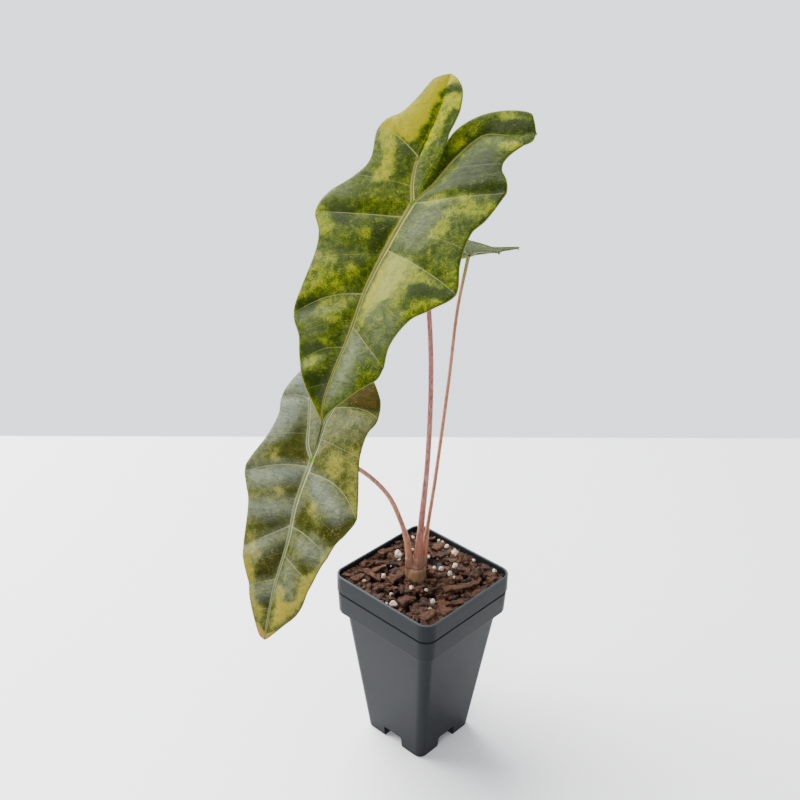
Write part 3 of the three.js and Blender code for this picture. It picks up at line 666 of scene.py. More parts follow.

# Blades: a grid for each half outside the rib and each lobe inside it, with a row on every side vein.
# Knots are [share, along, side] from the junction: share 0 is the tip, 1 the junction, 2 a lobe's tip.
# A side vein is [share, bow, weight]. A pale patch, or a patch of painted sheen with more gloss, is
# [strength, outline], dark where below 0.
# "grid" is the rows down to the junction and on a lobe, then the columns outside and inside the rib.

blades = {
    "front": {
        "junction": (-9.2, -25, 289.5), "heading": -123, "droop": 45, "roll": 0,
        "arch": 0.0011, "fold": 0.22, "lobeFold": 0.35, "quilt": 2.2, "ribHalf": 1.05,
        "grid": (170, 100, 40, 16), "slot": "blade",
        "midrib": [[0, 93.5, -1.5], [0.12, 83, -4], [0.42, 55, -3.3], [0.6, 38.5, -4], [0.83, 16.5, -2],
                   [1, 0, 0]],
        "left": {
            "veins": [[0.337, 0.02, 0.5], [0.577, 0.03, 1], [0.935, 0, 1], [1.344, 0.02, 1]],
            "faint": [0.18, 0.46, 0.76, 1.13, 1.62],
            "ridgeEnd": 1.3, "lobeDrop": 0,
            "rib": [[1, 0, 0], [1.17, -9.5, -4.5], [1.34, -20, -7], [1.65, -40, -8.4], [1.8, -49, -10],
                    [2, -62.5, -13]],
            "outer": [[0, 93.5, -1.5], [0.03, 91.5, -3], [0.1, 88, -6.5], [0.2, 81.5, -13.5],
                      [0.34, 73, -19.5], [0.45, 64.5, -23], [0.58, 56, -29.5], [0.68, 45.5, -30],
                      [0.78, 30.5, -30.5], [0.87, 21.5, -33], [0.935, 14, -38.5], [1.03, 4.5, -36],
                      [1.12, -4.5, -29.5], [1.22, -14, -26], [1.34, -29.5, -30], [1.5, -38.5, -23],
                      [1.68, -48, -20], [1.85, -57, -18.5], [1.95, -60.5, -16], [2, -62.5, -13]],
            "inner": [[1, 0, 0], [1.12, -14.5, 2.5], [1.25, -26, 4.2], [1.4, -32, 2.6], [1.55, -38, 2.2],
                      [1.7, -45, 1.3], [1.85, -54.5, -2.7], [1.95, -60, -8.5], [2, -62.5, -13]],
        },
        "right": {
            "veins": [[0.43, 0, 0.8], [0.78, 0.01, 1], [1, 0, 0.8]],
            "faint": [0.24, 0.6, 0.89, 1.3, 1.65],
            "ridgeEnd": 2, "lobeDrop": 0,
            "rib": [[1, 0, 0], [1.17, -9, 4.4], [1.4, -22.5, 8.7], [1.6, -33, 14], [1.7, -36, 18],
                    [1.85, -37.5, 26], [2, -40.5, 36.5]],
            "outer": [[0, 93.5, -1.5], [0.03, 90, -1], [0.12, 84, 4], [0.25, 76, 12], [0.36, 71.5, 17],
                      [0.43, 66.5, 17.5], [0.53, 57, 17.3], [0.62, 47, 21.5], [0.7, 41, 29],
                      [0.78, 33, 36], [0.86, 20.5, 32.7], [0.93, 8.5, 32], [0.97, 1.5, 35.5],
                      [1, -10.5, 38.5], [1.2, -20, 32.3], [1.45, -25.5, 31.5], [1.75, -32.5, 35],
                      [1.93, -36.5, 37.3], [2, -40.5, 36.5]],
            "inner": [[1, 0, 0], [1.1, -14, 2], [1.2, -26, 3.7], [1.35, -33.5, 4.6], [1.5, -40, 8.5],
                      [1.65, -45, 14.5], [1.8, -47.7, 23], [1.9, -48, 31.3], [1.96, -45, 34],
                      [2, -40.5, 36.5]],
        },
        # the dark patches (below 0) on the right lobe and on the left lobe's inner half are partly the
        # blade's own dark green and partly painted shade, darkening parts that lean towards the light
        "pale": [
            [1.3, (-62.5, -13), (-56.5, -18), (-50.5, -18.5), (-45, -20), (-40, -22.5), (-34.5, -27.5),
             (-30.5, -30), (-28, -26), (-28, -19.5), (-25.5, -14), (-27.5, -12), (-30, -11.5), (-33, -12),
             (-36, -10.5), (-39.5, -11), (-43, -12), (-47.5, -11), (-51, -12.5), (-55.5, -11.5), (-58, -9),
             (-56, -5.5), (-60, -8.5)],
            [0.6, (-60, -9), (-57, -3), (-51.5, -0.5), (-45, 2), (-38.5, 1.5), (-33, -2), (-20, -6.5),
             (-33, -8), (-43.5, -9.5), (-52, -10)],
            [-0.3, (-57, -7.5), (-54, -10.5), (-51.5, -9.5), (-53, -6), (-52, -2.5), (-54, -1.5), (-56, -4)],
            [-0.2, (-44, -2), (-44, 2), (-36, 3.5), (-26, 4.5), (-24, 1), (-32, -1), (-38, -3)],
            [0.66, (-29.5, -29), (-29, -23.5), (-24.5, -19.5), (-18, -16), (-11.5, -13), (-6.5, -13.5),
             (-4, -16.5), (-4.5, -21), (-12, -20), (-18.5, -22), (-23.5, -26.5)],
            [0.15, (-2, -18.5), (-5, -14), (-3.5, -8), (-9.5, -7.5), (-13.5, -7.5), (-17, -8), (-19, -6.5),
             (-13.5, -4.5), (-7.5, -3.5), (-1, -1.5), (2.5, -4), (5.5, -9.5), (6.5, -14.5), (6, -19.5)],
            [0.45, (17.5, -16), (15, -13.5), (16.5, -10), (19.5, -9.5), (20, -13.5)],
            [0.45, (10.5, -39.5), (10.5, -35), (14.5, -31.5), (16.5, -26), (20, -26), (24, -28), (24, -31.5),
             (16, -38)],
            [0.35, (30.5, -30), (29, -23.5), (30.5, -19), (35, -18.5), (38.5, -14.5), (41.5, -11.5),
             (45, -16.5), (44, -20.5), (48, -24.5), (50.5, -29), (45, -29.5), (36, -29.5)],
            [0.4, (32.5, -15), (30.5, -13), (31.5, -9), (34.5, -8.5), (37.5, -11), (37.5, -13.5)],
            [0.45, (16.5, -5.5), (13, -3), (15, -0.5), (21, -1.5), (22.5, -3.5)],
            [0.5, (21.5, 0), (22.5, 11), (26, 15.5), (28.5, 20.5), (31, 26), (33.5, 25), (32, 19), (34, 16.5),
             (37, 15), (40.5, 15), (45, 16), (47.5, 12), (52, 6), (55, -0.5), (51.5, -2.5), (38.5, -1.5)],
            [0.95, (25, 0), (24, 6), (26.5, 10), (31, 11.5), (35, 11), (39, 10), (42, 7), (45, 3),
             (46, -1.5), (38.5, -1.5), (31, -1)],
            [0.1, (43, 6), (41, 11), (45, 15), (48, 12), (54, 4), (51, 1), (47, 4)],
            [0.48, (8, 16), (0.5, 16.5), (-1, 20.5), (4, 21.5), (11.5, 22), (14.5, 19), (14, 15), (10, 14)],
            [0.48, (-5.5, 18), (-8.5, 23.5), (-5, 26), (-3, 29.5), (-4.5, 36.5), (-1, 36), (2.5, 28.5),
             (1.5, 23)],
            [0.55, (-1, 3.5), (-4, 8), (-6.5, 13), (-4.5, 15.5), (-2, 13), (0.5, 8)],
            [0.4, (39.5, 21), (36, 30.5), (37, 33.5), (43.5, 25), (47.5, 20), (46, 16)],
            [0.5, (63, -14), (60.5, -10.5), (64, -9), (67, -12)],
            [0.45, (72, -18), (68, -14), (69, -10.5), (74.5, -12.5), (75.5, -17)],
            [0.4, (43, -8), (46, -16), (51, -21), (56, -18.5), (55, -9)],
            [0.35, (-36.5, 10), (-39.5, 12), (-35.5, 14), (-34, 12.5)],
            [0.55, (-46.5, 16.5), (-47, 23.5), (-45, 28), (-43, 24.5), (-42, 20.5)],
            [0.35, (-34, 15.5), (-33, 20), (-30.5, 21)],
            [0.4, (-25, 6), (-31, 6), (-33, 8), (-29, 10), (-25.5, 9)],
            [0.55, (-32, 25.5), (-34.5, 31), (-32.5, 35), (-29.5, 32), (-29, 26)],
            [-0.25, (-25, -17), (-25.5, -12), (-23, -9.5), (-19, -9.5), (-20, -15.5)],
            [-0.6, (11, -33), (9, -22.5), (12, -21), (16, -22.5), (16, -28)],
            [-0.7, (12, -11), (10, -4.5), (17.5, -4), (24.5, -5.5), (23.5, -8.5), (17.5, -10)],
            [-0.5, (51, -28), (47.5, -21), (53.5, -22), (55.5, -26), (53.5, -29.5)],
            [-0.5, (67.5, -21), (64.5, -13), (66, -9), (70, -18.5)],
            [-0.7, (78, -15.5), (72.5, -5.5), (84, -3), (84, -9)],
            [-0.4, (33, 17), (32.5, 22.5), (34, 29.5), (30.5, 32.5), (33.5, 35), (36, 33.5), (36.5, 26.5),
             (38.5, 21), (36, 16.5)],
            [-0.6, (-12, 12), (-24, 14), (-28, 24), (-20, 30), (-10, 33), (-8, 22)],
            [0.25, (22.5, 25), (19.5, 30.5), (27.5, 35), (32.5, 33.5), (27.5, 28.5)],
            [-0.7, (-20.5, 7.5), (-29, 10.5), (-37, 14), (-41.5, 18.5), (-44.5, 33.5), (-40.5, 35.5),
             (-37.5, 22), (-34, 15), (-27, 11)],
            [-0.6, (-20.5, 24.5), (-24, 30.5), (-15, 35), (-12, 38.5), (-6.5, 37.5), (-10, 30)],
            [-0.5, (-16.5, 4.5), (-23.5, 5), (-21.5, 8), (-13, 6.5), (-7, 4), (-7, 2.5)],
        ],
        # patches of painted sheen: a greyish tone and paler yellow where the blade mirrors the light, with
        # more gloss there
        "paintedSheen": [
            [0.12, (-0.5, 2.5), (-13, 6.5), (-23, 11), (-27, 16.5), (-27, 24.5), (-23.5, 28), (-18.5, 23.5),
             (-11, 25.5), (-8.5, 23), (-8, 14.5), (-3.5, 7)],
            [0.6, (5, 3), (0, 6.5), (-1, 15.5), (6, 14.5), (11.5, 15), (17.5, 13), (22, 10.5), (21, 2),
             (14.5, 1.5), (8.5, 2.5)],
            [0.6, (56, -23.5), (51.5, -18.5), (46.5, -14), (43, -8.5), (46.5, -9.5), (52, -13.5), (60, -14.5),
             (64.5, -17), (63.5, -21), (59.5, -25)],
            [1.6, (55.5, -2.5), (63.5, -2), (74, -2.5), (82, -4), (84.5, 0), (78.5, 5), (72.5, 5),
             (64.5, 5.5), (60.5, 5)],
            [0.9, (50.5, 5), (46.5, 15), (51, 20), (60, 16.5), (62, 10.5), (58.5, 4)],
            [0.5, (70, -18.5), (67.5, -14), (67, -10), (71.5, -11), (74.5, -16)],
            [-0.4, (-62, -12), (-56, 1), (-38, 6), (-12, 4), (-10, 0), (-30, -12), (-34, -19), (-50, -17)],
            [0.5, (22, 0), (22, 8), (27, 13), (38, 14), (46, 16), (55, 12), (56, 0), (40, -1)],
            [0.5, (7, -38), (2.5, -29), (6, -24), (9.5, -30.5), (10.5, -38)],
            [0.4, (29.5, -30), (26.5, -15.5), (26, -8), (30, -14), (33.5, -21.5), (34.5, -28)],
            [0.3, (-40, 20.5), (-43, 26.5), (-45, 33), (-43, 34.5), (-40, 25.5)],
        ],
    },
    "low": {
        "junction": (-50.2, -32, 176.8), "heading": -110, "droop": 50, "roll": 0,
        "arch": 0.0012, "fold": 0.22, "lobeFold": 0.3, "quilt": 2, "ribHalf": 0.95,
        "grid": (150, 90, 34, 14), "slot": "blade_grey",
        "midrib": [[0, 78.5, -3], [0.26, 58, -3.3], [0.54, 36, -1.7], [0.75, 19.5, -2], [1, 0, 0]],
        "left": {
            "veins": [[0.33, 0, 0.6], [0.63, 0, 1], [0.955, 0.03, 1.2], [1.55, 0.03, 0.9]],
            "faint": [0.17, 0.48, 0.78, 1.25, 1.78],
            "ridgeEnd": 2, "lobeDrop": 0,
            "rib": [[1, 0, 0], [1.14, -6, -3.6], [1.33, -15, -5.6], [1.55, -26, -8.2], [1.78, -37.5, -9],
                    [2, -48.5, -9.6]],
            "outer": [[0, 78.5, -3], [0.03, 77.3, -5.4], [0.1, 72.5, -8.4], [0.22, 64, -12.5],
                      [0.36, 56, -15.2], [0.5, 49, -18.5], [0.63, 42.5, -20.5], [0.72, 32.5, -21.4],
                      [0.82, 22.5, -23], [0.9, 16.5, -25.6], [0.955, 11, -28], [1.1, 4, -26.6],
                      [1.25, -7, -22], [1.4, -17, -20], [1.55, -24.5, -21.2], [1.7, -32, -19.2],
                      [1.85, -40, -15.2], [1.95, -45.5, -12], [2, -48.5, -9.6]],
            "inner": [[1, 0, 0], [1.15, -7.5, 0.5], [1.33, -15.5, 0.4], [1.5, -24.3, -0.9],
                      [1.7, -33.5, -2.2], [1.86, -42, -4.2], [1.95, -47, -6.5], [2, -48.5, -9.6]],
        },
        "right": {
            "veins": [[0.46, 0, 0.7], [0.62, 0.02, 1], [0.93, 0.035, 1.2], [1.5, 0.03, 0.5]],
            "faint": [0.24, 0.77, 1.2, 1.75],
            "ridgeEnd": 2, "lobeDrop": 0,
            "rib": [[1, 0, 0], [1.12, -5.5, 0.9], [1.36, -18, 1.8], [1.47, -23, 3.4], [1.68, -33, 4.7],
                    [2, -50, 5.3]],
            "outer": [[0, 78.5, -3], [0.03, 77, -1], [0.12, 71.5, 4.2], [0.25, 66, 9.5],
                      [0.36, 60.5, 12], [0.44, 54, 13], [0.52, 46, 15.6], [0.62, 39.5, 18],
                      [0.72, 33, 21], [0.83, 27.5, 24.8], [0.93, 21, 27.3], [0.97, 13, 26],
                      [1.03, 6.5, 24.6], [1.12, 0.5, 23], [1.22, -6, 22], [1.35, -15, 22.5],
                      [1.48, -21, 25], [1.56, -28.5, 25], [1.66, -33.5, 22.7], [1.78, -39, 18.6],
                      [1.9, -45.5, 12.7], [2, -50, 5.3]],
            "inner": [[1, 0, 0], [1.13, -8, 0.1], [1.28, -15.7, -0.2], [1.43, -23.7, -1.4],
                      [1.65, -35, -1.6], [1.82, -45, -0.3], [1.95, -49.5, 1.8], [2, -50, 5.3]],
        },
        "pale": [
            [0.75, (55, -1.5), (56, 2.5), (60.5, 2.5), (61, 6.5), (59, 8.5), (55, 8.5), (52, 8.5), (51, 12.5),
             (54.5, 13), (60, 11.5), (65, 8), (70, 3), (72.5, -0.5), (63, -0.5)],
            [0.65, (44, -20), (47.5, -14.5), (53, -12.5), (59.5, -12.5), (62.5, -7), (69, -5.5), (72, -7),
             (64, -12.5), (52, -17.5)],
            [0.65, (45.5, 12), (41, 14.5), (34, 18.5), (33, 21), (45.5, 17), (53, 13), (50.5, 8.5)],
            [0.45, (-3.5, 8.5), (-5.5, 13), (-0.5, 16.5), (5.5, 15), (7.5, 10.5), (1, 8)],
            [0.35, (-7, 17), (-8, 21.5), (8.5, 26), (20, 27.5), (18.5, 24), (10, 20.5)],
            [0.3, (-12.5, -13), (-16.5, -11.5), (-14, -10), (-9.5, -11)],
            [0.5, (2, -18), (0, -15), (3.5, -14), (5.5, -17)],
            [0.6, (15.5, -12), (13, -7), (16.5, -6.5), (18, -10)],
            [0.5, (21, -16), (19, -10.5), (22, -12)],
            [0.5, (17, 4.5), (18.5, 9), (23, 9), (22.5, 5)],
            [0.6, (35, -18.5), (42.5, -13.5), (44.5, -10.5), (48, -13), (43.5, -20)],
            [-0.5, (-5.5, -14), (-17, -10), (-8, -4.5), (0.5, -2.5), (2.5, -8.5), (1.5, -14)],
            [-0.5, (7, -10), (5, -2), (13.5, -1.5), (18, -5), (14, -10)],
            [-0.6, (26.5, -15), (26, -7), (22.5, -0.5), (27.5, -1.5), (33, -10), (34, -16.5)],
            [-0.7, (46.5, -12), (39, -6.5), (35.5, -1.5), (44, -1.5), (52.5, -5), (54, -11.5)],
            [-0.7, (62, -10), (59, -3.5), (64.5, -4), (64.5, -7.5)],
            [-0.8, (24, 14), (20.5, 22), (20.5, 27), (27, 24), (34, 18.5), (31, 12.5)],
            [-0.5, (40.5, 8.5), (41.5, 15), (46.5, 13), (48.5, 8), (44, 4.5)],
            [-0.6, (-29, 3.5), (-31, 7), (-38.5, 19), (-32, 24.5), (-26, 22), (-26, 11.5)],
            [-0.6, (18, -0.5), (25.5, 7), (29, 12), (30.5, 5.5), (28.5, 1)],
            [-1.6, (-33, 23), (-26, 24), (-27, 11), (-35, 6), (-46, 6), (-48, 12), (-39, 20)],
            [3, (79.5, -5), (73, -8.5), (73, -7), (77, -3.2), (74.5, 1.5), (75, 3)],
        ],
        # patches of painted sheen: a greyish tone and paler yellow where the blade mirrors the light, with
        # more gloss there
        "paintedSheen": [
            [1.1, (10, -26.5), (5.5, -12.5), (4.5, -2), (9.5, -5), (14, -14.5), (15.5, -24.5)],
            [1, (24, -22.5), (20.5, -11), (19, -1), (23.5, -3.5), (27.5, -13.5), (28, -22)],
            [0.8, (43.5, -18.5), (35.5, -9.5), (30.5, -2), (33.5, -2.5), (40, -8.5), (44.5, -14)],
            [0.8, (58.5, -12.5), (55, -5.5), (55.5, -2.5), (59.5, -5), (62, -10.5)],
            [0.6, (48.5, -1), (43.5, 1.5), (51.5, 5.5), (59.5, 6), (56.5, 1.5)],
            [1, (6, 2), (8, 7.5), (13.5, 15.5), (19, 22), (23.5, 18.5), (19, 10), (13, 3)],
            [0.8, (34.5, 3.5), (33.5, 10), (37, 16), (42, 13.5), (40.5, 7.5), (37, 3.5)],
            [0.25, (-19, 1), (-23.5, 7), (-23.5, 17), (-22, 23.5), (-16, 21.5), (-12, 13), (-9.5, 6.5),
             (-12.5, 1)],
            [0.6, (-22.5, -6.5), (-21, -1.5), (-7, 1.5), (-3.5, -0.5), (-12.5, -4.5)],
            [1, (-22.5, -28.5), (-27.5, -13), (-23.5, -7.5), (-17, -10), (-9, -14.5), (-3, -23.5)],
            [0.4, (-2, -30.5), (0, -22.5), (6.5, -23.5), (9, -27.5)],
            [1.2, (-26, -22), (-36, -21), (-46, -12), (-48, -5), (-36, -8), (-28, -10)],
        ],
    },
    "back": {
        "junction": (15.8, 15, 254.6), "heading": 155, "droop": 20, "roll": 26,
        "arch": 0.002, "fold": 0.6, "lobeFold": 0.4, "quilt": 1, "ribHalf": 0.7,
        "grid": (70, 40, 20, 8), "slot": "blade_grey",
        "midrib": [[0, 46, 0], [0.5, 24, 1], [1, 0, 0]],
        "left": {
            "veins": [[0.4, 0, 0.8], [0.75, 0, 1], [1, 0, 1]],
            "faint": [0.2, 0.58, 1.4],
            "ridgeEnd": 2, "lobeDrop": -1.2,
            "rib": [[1, 0, 0], [1.4, -7.5, -3.8], [2, -20, -8.5]],
            "outer": [[0, 46, 0], [0.12, 41, -4.5], [0.4, 30, -9.5], [0.55, 21, -10.5], [0.75, 12, -15],
                      [0.87, 4, -14], [1, -3, -15.5], [1.3, -8.5, -13.5], [1.7, -15, -13.5],
                      [1.93, -19.5, -11.5], [2, -20, -8.5]],
            "inner": [[1, 0, 0], [1.3, -7, -0.8], [1.6, -13.5, -2], [1.85, -18.5, -5], [2, -20, -8.5]],
        },
        "right": {
            "veins": [[0.4, 0, 0.8], [0.75, 0, 1], [1, 0, 1]],
            "faint": [0.2, 0.58, 1.4],
            "ridgeEnd": 2, "lobeDrop": 3,
            "rib": [[1, 0, 0], [1.4, -7.5, 4.2], [2, -18.5, 8]],
            "outer": [[0, 46, 0], [0.12, 41, 4.5], [0.4, 30, 9.5], [0.55, 21, 10.5], [0.75, 12, 15],
                      [0.87, 5, 14], [1, -1, 15.5], [1.3, -7.5, 13.5], [1.7, -13.5, 13],
                      [1.93, -18, 11], [2, -18.5, 8]],
            "inner": [[1, 0, 0], [1.3, -6.5, 0.9], [1.6, -12.5, 1.6], [1.85, -17.5, 4], [2, -18.5, 8]],
        },
        "pale": [
            [0.6, (24, 2), (31, 3), (33, 8), (26, 9), (21, 6)],
            [0.6, (16, -3), (19, -9), (12, -12), (9, -6)],
            [0.5, (38, -3), (42, 0), (36, 3), (33, 0)],
        ],
        "paintedSheen": [],
    },
}
relief = {  # the fine form of every blade, in millimetres
    "top": 0.2, "skin": 0.42, "keel": 1.1,  # above the CAD blade's middle, thickness, under the rib
    "ribRise": 0.2, "groove": 0.3, "ribEdge": 0.42,
    "veinHalf": 0.36, "faintWeight": 0.13, "veinDepth": 0.28, "veinReach": 0.55,
    "slack": 0.45, "tipReach": 1.8, "lobeReach": 3.4, "marginDrop": 0.25, "marginReach": 0.7,
    "pucker": 0.25, "ripple": 0.025,
}
bladeNotes = {"rib": 12, "vein": 12, "edge": 20}  # distances kept for the colours, and how far they count
paintSoftness = {"pale": 2.2, "paintedSheen": 9}  # how far a patch fades at its outline


def insideOf(outline, x, y):  # distance from an outline's line, positive inside it
    nearest, isInside = 99, False
    for (startX, startY), (endX, endY) in zip(outline, outline[1:] + outline[:1]):
        stepX, stepY = endX - startX, endY - startY
        part = ((x - startX) * stepX + (y - startY) * stepY) / (stepX**2 + stepY**2)
        part = max(0, min(1, part))
        nearest = min(nearest, math.hypot(x - startX - part * stepX, y - startY - part * stepY))
        if (startY > y) != (endY > y):
            isInside ^= x - startX < (y - startY) / stepY * stepX
    return nearest if isInside else -nearest


def paint(bm, plane, layer, patches, softness):  # later patches cover earlier ones
    for strength, *outline in patches:
        reach = max(math.dist(corner, outline[0]) for corner in outline) + softness
        for vert in bm.verts:
            x, y, _ = vert[plane]
            if math.dist((x, y), outline[0]) < reach:
                cover = max(0, min(1, 0.5 + insideOf(outline, x, y) / softness))
                vert[layer] = lerp(vert[layer], strength, cover)


def bent(half, share, across):  # moves a row so that its side vein bows towards the tip or the lobe
    for vein, bow, _ in half["veins"]:
        near = max(0, 1 - abs(share - vein) / 0.16)
        share += bow * near**2 * (3 - 2 * near) * 4 * across * (1 - across)
    return share


def ribWidth(blade, share):
    if share <= 1:
        return blade["ribHalf"] * lerp(0.28, 1, share)
    return blade["ribHalf"] * lerp(0.72, 0.1, share - 1)


def bladePoint(blade, half, share, across, isInner):
    rib = through(blade["midrib"] if share <= 1 else half["rib"], share)
    margin = through(half["inner" if isInner else "outer"], share)
    width = math.hypot(margin[0] - rib[0], margin[1] - rib[1])
    along, side = lerp(rib[0], margin[0], across), lerp(rib[1], margin[1], across)
    rise = -blade["arch"] * along**2 - half["lobeDrop"] * max(0, share - 1) ** 2
    if isInner:
        rise += blade["lobeFold"] * width * (across - 0.35 * across**2)
    else:
        valley = sum(bell(share - vein, 0.048) for vein, _, _ in half["veins"])
        bulge = max(0, 1 - valley) * min(1, width / 15)
        rise += blade["fold"] * width * (across - 0.5 * across**2)
        rise += blade["quilt"] * bulge * (1.6 * across - 1.2 * across**2)
    return Vector((along, side, rise)), width


def sharesOf(blade, count, lobeCount):
    shares = [row / count for row in range(count + 1)]
    shares += [1 + math.sin(row / lobeCount * math.pi / 2) for row in range(1, lobeCount + 1)]
    fixed = {0, count, len(shares) - 1}
    for half in (blade["left"], blade["right"]):
        for vein in [entry[0] for entry in half["veins"]] + half["faint"]:
            free = [row for row in range(len(shares)) if row not in fixed]
            nearest = min(free, key=lambda row: abs(shares[row] - vein))
            if vein != 1:
                shares[nearest] = vein
                fixed.add(nearest)
    return shares


def bladeGrid(blade, half, isInner, shares, acrosses):  # each point with the width of its half there
    grid = []
    for share in shares:
        turned = [share if isInner else bent(half, share, across) for across in acrosses]
        grid.append([bladePoint(blade, half, *place, isInner) for place in zip(turned, acrosses)])
    return grid


def bladeStrip(bm, layers, blade, half, isInner, shares, columns):
    marks = []
    if not isInner:
        marks = [(vein, weight) for vein, _, weight in half["veins"]]
        marks += [(vein, relief["faintWeight"]) for vein in half["faint"]]
    acrosses = [(column / columns) ** 1.25 for column in range(columns + 1)]
    flat = bladeGrid(blade, half, isInner, shares, acrosses)
    farRib, farVein, farEdge = bladeNotes.values()
    thickest, tipReach, lobeReach = relief["skin"] + relief["keel"], relief["tipReach"], relief["lobeReach"]
    rows, notes = [], []
    for row, share in enumerate(shares):
        line = []
        before, after = max(row - 1, 0), min(row + 1, len(shares) - 1)
        ridge = max(0, 1 - max(0, share - half["ridgeEnd"]) / 0.5)  # the rib's form fades out past its end
        for column, across in enumerate(acrosses):
            point, width = flat[row][column]
            step = (flat[after][column][0] - flat[before][column][0]) / (shares[after] - shares[before])
            outward = flat[row][min(column + 1, columns)][0] - flat[row][max(column - 1, 0)][0]
            pitch = step.cross(outward).length / outward.length if outward.length > 1e-6 else step.length
            gaps = [((share - mark) * pitch, weight) for mark, weight in marks]
            rib, edge = across * width / ribWidth(blade, share), (1 - across) * width
            thin, veinHalf = lerp(1, 0.2, across), relief["veinHalf"]
            vein = min((abs(gap) / (veinHalf * weight * thin) for gap, weight in gaps), default=farVein)
            sunk = max((bell(gap, relief["veinReach"]) * weight for gap, weight in gaps), default=0)
            sunk *= min(1, across * 8)
            sunk *= lerp(1, 0.5, across)
            raised = relief["ribRise"] * bell(rib - 1, relief["ribEdge"])
            rise = relief["top"] + ridge * (raised - relief["groove"] * bell(rib, relief["ribEdge"]))
            if share > 1:
                rib = lerp(farRib, rib, ridge)
            # past its vein, towards the tip, a panel rises faster than it falls to the next vein
            slack = sum(weight * bell(gap, lobeReach if gap > 0 else tipReach) for gap, weight in gaps)
            slack *= min(1, across * 5)
            slack *= min(1, edge / 4)
            rise -= (relief["veinDepth"] * sunk + relief["slack"] * slack
                     + relief["marginDrop"] * math.exp(-edge / relief["marginReach"]))
            pucker = noise.noise(Vector((point.x * 0.16, point.y * 0.16, 4.0)))
            ripple = math.sin(share * 95 + 2.5 * noise.noise(Vector((point.x * 0.1, point.y * 0.1, 0))))
            waves = relief["pucker"] * pucker + relief["ripple"] * ripple
            rise += waves * min(1, rib / 4) * min(1, edge / 3)
            line.append(point + Vector((0, 0, rise)))
            keel = min(1, bell(rib, 1.1) * min(1, ribWidth(blade, share) / 0.8) + 0.3 * sunk)
            notes.append((Vector((point.x, point.y, 0)), min(rib, farRib), min(vein, farVein),
                          min(edge, farEdge), lerp(relief["skin"], thickest, keel) / thickest))
        rows.append(line)
    group = bm.verts.layers.deform.verify()
    for vert, values in zip(gridOf(bm, rows), notes):
        vert[group][0] = values[-1]
        for layer, value in zip(layers, values):
            vert[layer] = value


def upperMaterial(name, look):
    upper = newMaterial(name, Roughness=look["roughness"])
    plane = attribute(upper, "plane", "Vector")
    rib, vein, edge = attribute(upper, "rib"), attribute(upper, "vein"), attribute(upper, "edge")
    painted, sheen = attribute(upper, "pale"), attribute(upper, "paintedSheen")
    coarse = mottle(upper, plane, 0.12, 3, 0.6, 0.5)
    medium = mottle(upper, plane, 0.36, 6, 0.7, 0.6)
    fine = mottle(upper, plane, 1.9, 3, 0.7)
    fleck = mottle(upper, stretched(upper, plane, (1, 0.4, 1)), 1.6, 4, 0.75)
    grain = mottle(upper, stretched(upper, plane, (1, 0.3, 1)), 1.2, 4, 0.65, 1.2)
    pale = painted
    for source, weight in ((coarse, 0.5), (medium, 2.2), (fine, 1.5)):
        pale = calc(upper, "MULTIPLY_ADD", calc(upper, "SUBTRACT", source, 0.5), weight, pale)
    # under the painted sheen the yellow turns to the pale tone: painted sheen
    paleTone = coats(upper, look["yellow"], [
        (fade(upper, sheen, 0.2, 0.7), look["pale"]),
        (thinned(upper, fade(upper, medium, 0.58, 0.38), 0.5), look["lime"]),
    ])
    flecks = calc(upper, "MULTIPLY", fade(upper, fleck, 0.56, 0.62), fade(upper, coarse, 0.4, 0.6))
    # painted sheen: streaks of a greyish tone where the blade mirrors the light; the same mask raises the
    # gloss
    paintedSheen = calc(upper, "MULTIPLY", sheen, fade(upper, grain, 0.15, 0.7))
    hub = addNode(upper, "ShaderNodeVectorMath", {0: plane}, operation="LENGTH").outputs["Value"]
    colour = coats(upper, look["dark"], [
        (fade(upper, pale, -0.8, -0.3), look["deep"]),
        (fade(upper, pale, -0.08, 0.06), look["mid"]),
        (fade(upper, pale, 0.28, 0.42), look["lime"]),
        (fade(upper, pale, 0.6, 0.85), paleTone),
        (fade(upper, pale, -1, -2), look["brown"]),
        (fade(upper, painted, 1.6, 2.4), look["blush"]),
        (thinned(upper, flecks, 0.6), look["fleck"]),
        (thinned(upper, fade(upper, fleck, 0.48, 0.3), 0.5), look["mid"]),
        (thinned(upper, fade(upper, fine, 0.44, 0.34), 0.5), look["deep"]),
        (thinned(upper, paintedSheen, look["paintedSheenStrength"]), look["paintedSheen"]),
        (thinned(upper, fade(upper, vein, 1.3, 0.5), 0.5), look["vein"]),
        (thinned(upper, fade(upper, rib, 1.5, 1.0), 0.85), look["vein"]),
        # a darker line down the middle of the rib, in its groove: painted shade
        (thinned(upper, fade(upper, rib, 0.4, 0.1), 0.35), look["groove"]),
        (thinned(upper, fade(upper, edge, 0.9, 0.4), 0.4), look["mid"]),
        (fade(upper, edge, 0.4, 0.15), look["margin"]),
        (fade(upper, hub, 1.5, 0.8), look["hub"]),
    ])
    gloss = calc(upper, "MULTIPLY_ADD", paintedSheen, look["gloss"], 0.03)
    net = fade(upper, cells(upper, plane, 0.6, "DISTANCE_TO_EDGE"), 0.1, 0.0)
    height = calc(upper, "MULTIPLY_ADD", net, -0.2, calc(upper, "MULTIPLY_ADD", grain, 0.6, medium))
    toShader(upper, Base_Color=colour, Specular_IOR_Level=gloss, Normal=bump(upper, height, 0.00025, 0.6))
    return upper


